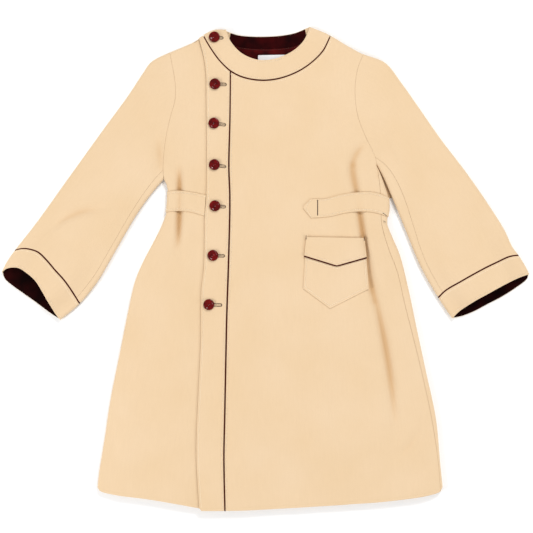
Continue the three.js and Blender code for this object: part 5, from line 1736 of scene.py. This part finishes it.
@dataclass
class Sleeve:
    """A two-piece sleeve with its piped cuff and the cuff's lining."""

    kit: Kit
    hand: Hand
    fan: tuple[float, float]
    seams: tuple[Sequence[Row], Sequence[Row]]
    edges: tuple[Sequence[Row], Sequence[Row]]

    def build(self) -> None:
        """Builds the sleeve and its cuff."""
        side = self.hand.value
        on_left = self.hand is Hand.LEFT
        outer_rows, lower_rows = (OUTER_LEFT, LOWER_LEFT) if on_left else (OUTER_RIGHT, LOWER_RIGHT)
        plan = self.kit.plan
        outer, lower = plan.outer[self.hand], plan.lower[self.hand]
        cuff_outer = outer.between(named(outer_rows, "cuff seam"), named(outer_rows, "cuff corner"))
        cuff_lower = lower.between(named(lower_rows, "cuff seam"), named(lower_rows, "cuff corner"))
        arm_outer = outer.between(named(outer_rows, "armhole"), named(outer_rows, "cuff seam"))
        arm_lower = lower.between(named(lower_rows, "underarm"), named(lower_rows, "cuff seam"))
        top_hole = plan.armhole[self.hand].part(1.0, 0.0)
        arms, cuffs = {}, {}
        for face, seam, edge in zip((Face.FRONT, Face.BACK), self.seams, self.edges):
            arms[face] = Patch(arm_outer, arm_lower, top_hole, Edge.through(seam), self.fan)
            cuffs[face] = Patch(cuff_outer, cuff_lower, Edge.through(seam), Edge.through(edge))
        self.arm(arms, side)
        self.cuff(cuffs, side)

    def arm(self, arms: dict[Face, Patch], side: str) -> None:
        """The top sleeve over the outer fold and the under sleeve round the lower one."""
        kit, cut = self.kit, self.kit.cutter.grid
        seams = {Face.FRONT: SLEEVE_SEAM, Face.BACK: HIDDEN_SEAM}
        rims = (TURNED, SEWN, SEWN, CORDED)
        front, back = (cut(arms[f], f, rims, across=(0.0, seams[f])) for f in (Face.FRONT, Face.BACK))
        kit.wool(f"sleeve_top_{side}", self.round_fold(front, back, at_end=False), kit.form.cloth)
        rims = (SEWN, TURNED, SEWN, CORDED)
        back, front = (cut(arms[f], f, rims, across=(seams[f], 1.0)) for f in (Face.BACK, Face.FRONT))
        kit.wool(f"sleeve_under_{side}", self.round_fold(back, front, at_end=True), kit.form.cloth)

    @staticmethod
    def round_fold(first: Grid, second: Grid, at_end: bool) -> Grid:
        """One grid from two faces that meet in a fold, at their last columns or at their first."""
        rows = min(first.rim.shape[0], second.rim.shape[0])
        first, second = (Sleeve.with_rows(g, rows) for g in (first, second))
        if at_end:
            return first.beside(second.flipped().columns(1, None))
        return first.flipped().beside(second.columns(1, None))

    @staticmethod
    def with_rows(grid: Grid, rows: int) -> Grid:
        """The grid with some of its middle rows left out, so that it has the wanted number."""
        total = grid.rim.shape[0]
        spare = total - rows
        if not spare:
            return grid
        middle = np.linspace(total * 0.3, total * 0.7, spare).round().astype(int)
        keep = np.setdiff1d(np.arange(total), middle)
        return Grid(*(a[keep] for a in grid.parts))

    def cuff(self, cuffs: dict[Face, Patch], side: str) -> None:
        """The cuff as one tube, with its lining and the cord in its seam."""
        kit = self.kit
        tube = self.tube(cuffs, (TURNED, TURNED, CORDED, STITCHED), 3.6)
        kit.wool(f"cuff_{side}", tube, kit.form.cloth, tube=True)
        inner = self.tube(cuffs, (TURNED, TURNED, Rim(inset=5.0), Rim(inset=0.5)), 4.5)
        kit.lining(f"lining_cuff_{side}", inner, kit.finishes.cuff_lining_painted_shade, "lining", tube=True)
        self.cord(cuffs, side)

    def tube(self, cuffs: dict[Face, Patch], rims: tuple[Rim, ...], step: float) -> Grid:
        """One closed ring from the cuff's two faces."""
        front, back = (self.kit.cutter.grid(cuffs[f], f, rims, step) for f in (Face.FRONT, Face.BACK))
        rows = min(front.rim.shape[0], back.rim.shape[0])
        front, back = (Sleeve.with_rows(g, rows) for g in (front, back))
        return front.beside(back.flipped().columns(1, -1))

    def cord(self, cuffs: dict[Face, Patch], side: str) -> None:
        """The cord that runs round the cuff's seam, and the row of stitches beside it."""
        kit = self.kit
        shares = np.linspace(0.0, 1.0, 80)
        front = kit.cutter.line(cuffs[Face.FRONT].bottom(shares))
        back = kit.cutter.line(cuffs[Face.BACK].bottom(shares[::-1]), Face.BACK)
        ring = tuple(np.vstack([a, b[1:]]) for a, b in zip(front, back))
        Cord(f"piping_cuff_{side}").build(ring, -CUFF_CORD_SINK, kit.finishes)
        rows = []
        for share in (0.12, 0.9):
            level = np.linspace(0.02, 0.98, 70)
            rows.append(kit.cutter.line(cuffs[Face.FRONT].at(level, np.full_like(level, share))))
        kit.pale_rows(f"stitches_cuff_{side}", rows, seed=31)


@dataclass
class Belt:
    """The belt: stitched to the fronts, with a pointed right end, and run on across the back."""

    kit: Kit
    panels: BodyPanels
    bridge: float = 0.45
    row_start: float = 0.11
    row_part: float = 0.85
    row_lift: float = 0.25
    bar: tuple[Row, Row] = (Row(104, 105.5), Row(104, 135.5))
    tip_row: tuple[Row, ...] = (Row(89.5, 104.5), Row(80, 120), Row(80, 122), Row(89.5, 134))
    end_tacks: tuple[tuple[Row, Row], ...] = (
        (Row(234.5, 110), Row(241.5, 104.5)),
        (Row(236, 94), Row(239.5, 91.5)),
    )
    left_top: tuple[Row, ...] = (Row(-199, 153), Row(-173, 155), Row(-150, 152), Row(-118.8, 146))
    left_bottom: tuple[Row, ...] = (Row(-199, 112), Row(-178, 114), Row(-150, 112), Row(-121.6, 104))
    right_top: tuple[Row, ...] = (
        Row(91, 138), Row(118, 138), Row(154, 147), Row(195, 152), Row(222, 150), Row(246, 141),
    )
    right_bottom: tuple[Row, ...] = (
        Row(91, 100), Row(129, 103), Row(160, 110), Row(195, 113), Row(222, 110), Row(245, 103),
    )
    tip: tuple[Row, ...] = (Row(91, 100), Row(75, 119.5), Row(75, 122.5), Row(91, 138))

    def build(self) -> None:
        """Builds the belt's three pieces and their stitches."""
        kit, plan = self.kit, self.kit.plan
        out = kit.form.seam + kit.form.band
        left_rims = (ROLLED, FREE, STITCHED, STITCHED)
        left = self.patch(plan.left, self.left_bottom, self.left_top, fold_first=True)
        grid = kit.cutter.grid(left, Face.FRONT, left_rims, step=3.6, share=self.bridge)
        kit.wool("belt_left", grid.moved(-self.panels.sink_at(grid.points)), kit.form.band, out=out)
        right = self.patch(plan.right, self.right_bottom, self.right_top, fold_first=False)
        rims = (STITCHED, ROLLED, STITCHED, STITCHED)
        grid = kit.cutter.grid(right, Face.FRONT, rims, step=3.6, share=self.bridge)
        kit.wool("belt_right", kit.lapped(grid), kit.form.band, out=out + 0.2)
        self.back(out)
        self.sewing(left, right, out)

    def patch(self, fold: Edge, bottom: Sequence[Row], top: Sequence[Row], fold_first: bool) -> Patch:
        """A belt piece whose one end lies on a folded edge."""
        at = 0 if fold_first else -1
        low, high = fold.share_at(bottom[at]), fold.share_at(top[at])
        end = fold.part(low, high)
        bottom, top = list(bottom), list(top)
        bottom[at], top[at] = Row(*fold(low)), Row(*fold(high))
        lower, upper = Edge.through(bottom), Edge.through(top)
        if fold_first:
            return Patch(end, Edge.straight(bottom[-1], top[-1]), lower, upper)
        return Patch(Edge.straight(*self.tip), end, lower, upper)

    def back(self, out: float) -> None:
        """The length of belt across the back."""
        kit, plan = self.kit, self.kit.plan
        left = plan.left.part(plan.left.share_at((-199, 112)), plan.left.share_at((-196, 153)))
        right = plan.right.part(plan.right.share_at((245, 103)), plan.right.share_at((247, 141)))
        low, high = Edge.straight(left(0.0), right(0.0)), Edge.straight(left(1.0), right(1.0))
        rims = (ROLLED, ROLLED, STITCHED, STITCHED)
        grid = kit.cutter.grid(Patch(left, right, low, high), Face.BACK, rims, step=6.0)
        kit.wool("belt_back", grid, kit.form.band, out=out)

    def sewing(self, left: Patch, right: Patch, out: float) -> None:
        """The rows inside the belt's edges, the dark bar near its point and the tacks at its end."""
        kit = self.kit
        level = np.linspace(0.04, 0.99, 60)
        rows = []
        for share in (0.1, 0.9):
            across = np.full_like(level, share)
            points, normals = kit.form.frames(left.at(level, across), Face.FRONT, self.bridge)
            lift = out - self.panels.sink_at(points)
            rows.append((points + normals * lift[:, None], normals))
            row = right.at(self.row_start + level * self.row_part, across)
            rows.append(kit.lapped_line(row, out + self.row_lift, self.bridge))
        steps = np.linspace(0, 1, 30)
        point = Edge.straight(*self.tip_row)(steps)
        rows.append(kit.lapped_line(point, out + self.row_lift, self.bridge))
        kit.pale_rows("stitches_belt", rows, seed=37)
        bar = kit.lapped_line(Edge.straight(*self.bar)(steps), out + 0.3)
        kit.dark_rows("belt_tack", [bar], BAR_TACK, seed=41)
        steps = np.linspace(0, 1, 12)
        ends = [kit.lapped_line(Edge.straight(*row)(steps), out + 0.2) for row in self.end_tacks]
        kit.dark_rows("belt_end_tacks", ends, END_TACK, seed=53)


@dataclass
class Pocket:
    """The five-cornered patch pocket with its pointed, piped flap."""

    kit: Kit
    top_left: Row = Row(81, 62)
    top_right: Row = Row(199, 60)
    left: Row = Row(75, -41)
    right: Row = Row(206, -42)
    tip: Row = Row(129, -81)
    flap_left: Row = Row(77, 25)
    flap_right: Row = Row(202, 22)
    flap_tip: Row = Row(142, 5)
    piping_drop: float = 1.5
    bridge: float = 0.5
    cord: float = 1.25
    cord_lift: float = 1.35
    bag_row: tuple[Row, ...] = (
        Row(85, 55), Row(79.5, -38.5), Row(129, -75.5), Row(201, -38.5), Row(195, 54),
    )

    def build(self) -> None:
        """Builds the bag, the flap, its cord and the stitches."""
        kit = self.kit
        out = kit.form.seam + kit.form.band
        bag_bottom = Edge.straight(self.left, self.tip, self.right)
        bag = Patch(
            Edge.straight(self.left, self.top_left),
            Edge.straight(self.right, self.top_right),
            bag_bottom,
            Edge.straight(self.top_left, self.top_right),
        )
        rims = (STITCHED, STITCHED, STITCHED, FREE)
        joint = bag_bottom.share_at(self.tip)
        grid = kit.cutter.grid(bag, Face.FRONT, rims, step=3.6, joints=(joint,), share=self.bridge)
        kit.wool("pocket", kit.lapped(grid), kit.form.band, out=out)
        flap_bottom = Edge.straight(self.flap_left, self.flap_tip, self.flap_right)
        flap = Patch(
            Edge.straight(self.flap_left, self.top_left),
            Edge.straight(self.flap_right, self.top_right),
            flap_bottom,
            Edge.straight(self.top_left, self.top_right),
        )
        joint = flap_bottom.share_at(self.flap_tip)
        grid = kit.cutter.grid(flap, Face.FRONT, rims, step=3.6, joints=(joint,), share=self.bridge)
        kit.wool("pocket_flap", kit.lapped(grid), kit.form.band, out=2 * out)
        self.sewing(bag_bottom, flap_bottom, out)

    def sewing(self, bag_bottom: Edge, flap_bottom: Edge, out: float) -> None:
        """The flap's cord, the rows inside the edges and the dark tacks at the top corners."""
        kit = self.kit
        shares = np.linspace(0.0, 1.0, 60)
        cord = self.rounded(flap_bottom(shares)) + np.array([0.0, -self.piping_drop])
        line = kit.lapped_line(cord, share=self.bridge)
        Cord("piping_flap", self.cord).build(line, out + self.cord_lift, kit.finishes)
        bag = Edge.straight(*self.bag_row)(np.linspace(0, 1, 120))
        flap = flap_bottom(np.linspace(0.03, 0.97, 60)) + np.array([0.0, 4.6])
        below = flap_bottom(np.linspace(0.04, 0.96, 60)) + np.array([0.0, -6.2])
        layers = ((bag, 1), (flap, 2), (below, 1))
        rows = [kit.lapped_line(places, out * count, self.bridge) for places, count in layers]
        kit.pale_rows("stitches_pocket", rows, seed=43)
        tacks = []
        for x, y, _ in (self.top_left, self.top_right):
            tack = Edge.straight((x, y + 2.5), (x, y - 5.0))(np.linspace(0, 1, 8))
            tacks.append(kit.lapped_line(tack, 2 * out + 0.2, self.bridge))
        kit.dark_rows("pocket_tacks", tacks, CORNER_TACK, seed=47)

    @staticmethod
    def rounded(places: np.ndarray, passes: int = 8) -> np.ndarray:
        """A line with its corners eased."""
        line = places.copy()
        for _ in range(passes):
            line[1:-1] = (line[:-2] + 2 * line[1:-1] + line[2:]) / 4
        return line


@dataclass
class Buttons:
    """Glossy round buttons: a raised rim, a dish and a small dimple."""

    kit: Kit
    gap: float = 0.4
    sides: int = 48
    profile: tuple[tuple[float, float], ...] = (
        (9.4, 0.0), (10.3, 0.35), (10.8, 0.95), (11.0, 1.7), (10.95, 2.4), (10.7, 3.1),
        (10.2, 3.65), (9.5, 3.95), (8.8, 3.98), (8.1, 3.75), (7.4, 3.35), (6.4, 3.05),
        (5.0, 2.9), (3.4, 2.85), (2.3, 2.75), (1.7, 2.45), (1.2, 2.1), (0.5, 1.9),
    )

    def build(self) -> None:
        """Builds each button on its place."""
        for number, place in enumerate(BUTTONS, start=1):
            self.button(f"button_{number}", place)

    def button(self, name: str, place: Row) -> None:
        """Turns one button about the face's normal."""
        points, normals = self.kit.lapped_line(np.array([[place.x, place.y]]), self.gap)
        axis = Vector(normals[0])
        side = axis.orthogonal().normalized()
        across = np.array([side, axis.cross(side)])
        turn = np.linspace(0.0, math.tau, self.sides, endpoint=False)
        ring = np.stack([np.cos(turn), np.sin(turn)], axis=1) @ across
        rings = [points[0] + ring * r + normals[0] * z for r, z in self.profile]
        foot, dimple = points[0], points[0] + normals[0] * (self.profile[-1][1] - 0.02)
        skin = np.vstack([*rings, foot, dimple]) * MM
        mesh = bpy.data.meshes.new(name)
        mesh.from_pydata(skin.tolist(), [], ring_faces(len(rings), self.sides))
        dress(new_object(f"{name}_turned", mesh, self.kit.finishes.button), "button", name)


@dataclass
class Studio:
    """Plain pale floor, soft lights and a camera straight above the coat."""

    finishes: Finishes
    centre: tuple[float, float] = (0.002, 0.003)
    lens: float = 85.0
    sensor: float = 36.0
    field_width: float = 1.066
    cloth_height: float = 0.012
    floor_half: float = 4.0
    floor_drop: float = 0.0006
    sky: float = 0.55
    lights: tuple[tuple[str, Triple, float, float], ...] = (
        ("key", (0.9, 2.2, 2.4), 0.8, 52.0),
        ("left", (-2.2, -0.9, 1.6), 1.0, 38.0),
        ("right", (2.0, -1.4, 1.5), 1.0, 23.0),
    )

    def build(self) -> None:
        """Builds the floor, the lights and the camera."""
        self.floor()
        for name, place, size, power in self.lights:
            self.light(name, place, size, power)
        world = bpy.data.worlds.new("studio")
        world.use_nodes = True
        sky = world.node_tree.nodes["Background"]
        sky.inputs["Color"].default_value = (1.0, 1.0, 1.0, 1.0)
        sky.inputs["Strength"].default_value = self.sky
        bpy.context.scene.world = world
        bpy.context.scene.view_settings.view_transform = "Standard"
        self.camera()

    def floor(self) -> None:
        """The floor just under the coat."""
        half, low = self.floor_half, -self.floor_drop
        places = [(-half, -half, low), (half, -half, low), (half, half, low), (-half, half, low)]
        mesh = bpy.data.meshes.new("studio_floor")
        mesh.from_pydata(places, [], [(0, 1, 2, 3)])
        new_object("studio_floor", mesh, self.finishes.floor)

    def light(self, name: str, place: Triple, size: float, power: float) -> None:
        """A soft square light that looks at the coat."""
        data = bpy.data.lights.new(name, "AREA")
        data.shape = "SQUARE"
        data.size = size
        data.energy = power
        lamp = bpy.data.objects.new(name, data)
        lamp.location = place
        aim = Vector((*self.centre, 0.0)) - Vector(place)
        lamp.rotation_mode = "QUATERNION"
        lamp.rotation_quaternion = aim.to_track_quat("-Z", "Y")
        bpy.context.scene.collection.objects.link(lamp)

    def camera(self) -> None:
        """The camera, straight above."""
        data = bpy.data.cameras.new("camera")
        data.lens = self.lens
        data.sensor_width = self.sensor
        eye = bpy.data.objects.new("camera", data)
        away = self.field_width * self.lens / self.sensor
        eye.location = (*self.centre, self.cloth_height + away)
        bpy.context.scene.collection.objects.link(eye)
        bpy.context.scene.camera = eye


def main() -> None:
    """Builds the coat over its solids and reports each piece."""
    logging.basicConfig(level=logging.INFO, format="%(message)s", stream=sys.stdout)
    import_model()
    finishes = Finishes()
    kit = Kit(Plan(), Cutter(CoatForm()), finishes, StitchTree())
    panels = BodyPanels(kit)
    panels.build()
    Closing(kit).build()
    NeckBand(kit).build()
    Sleeve(
        kit,
        Hand.LEFT,
        (0.0, 0.0),
        (CUFF_SEAM_TOP_LEFT, CUFF_SEAM_UNDER_LEFT),
        (CUFF_EDGE_TOP_LEFT, CUFF_EDGE_UNDER_LEFT),
    ).build()
    Sleeve(
        kit,
        Hand.RIGHT,
        (170.0, 60.0),
        (CUFF_SEAM_TOP_RIGHT, CUFF_SEAM_UNDER_RIGHT),
        (CUFF_EDGE_TOP_RIGHT, CUFF_EDGE_UNDER_RIGHT),
    ).build()
    Belt(kit, panels).build()
    Pocket(kit).build()
    Buttons(kit).build()
    Studio(finishes).build()


if __name__ == "__main__":
    main()
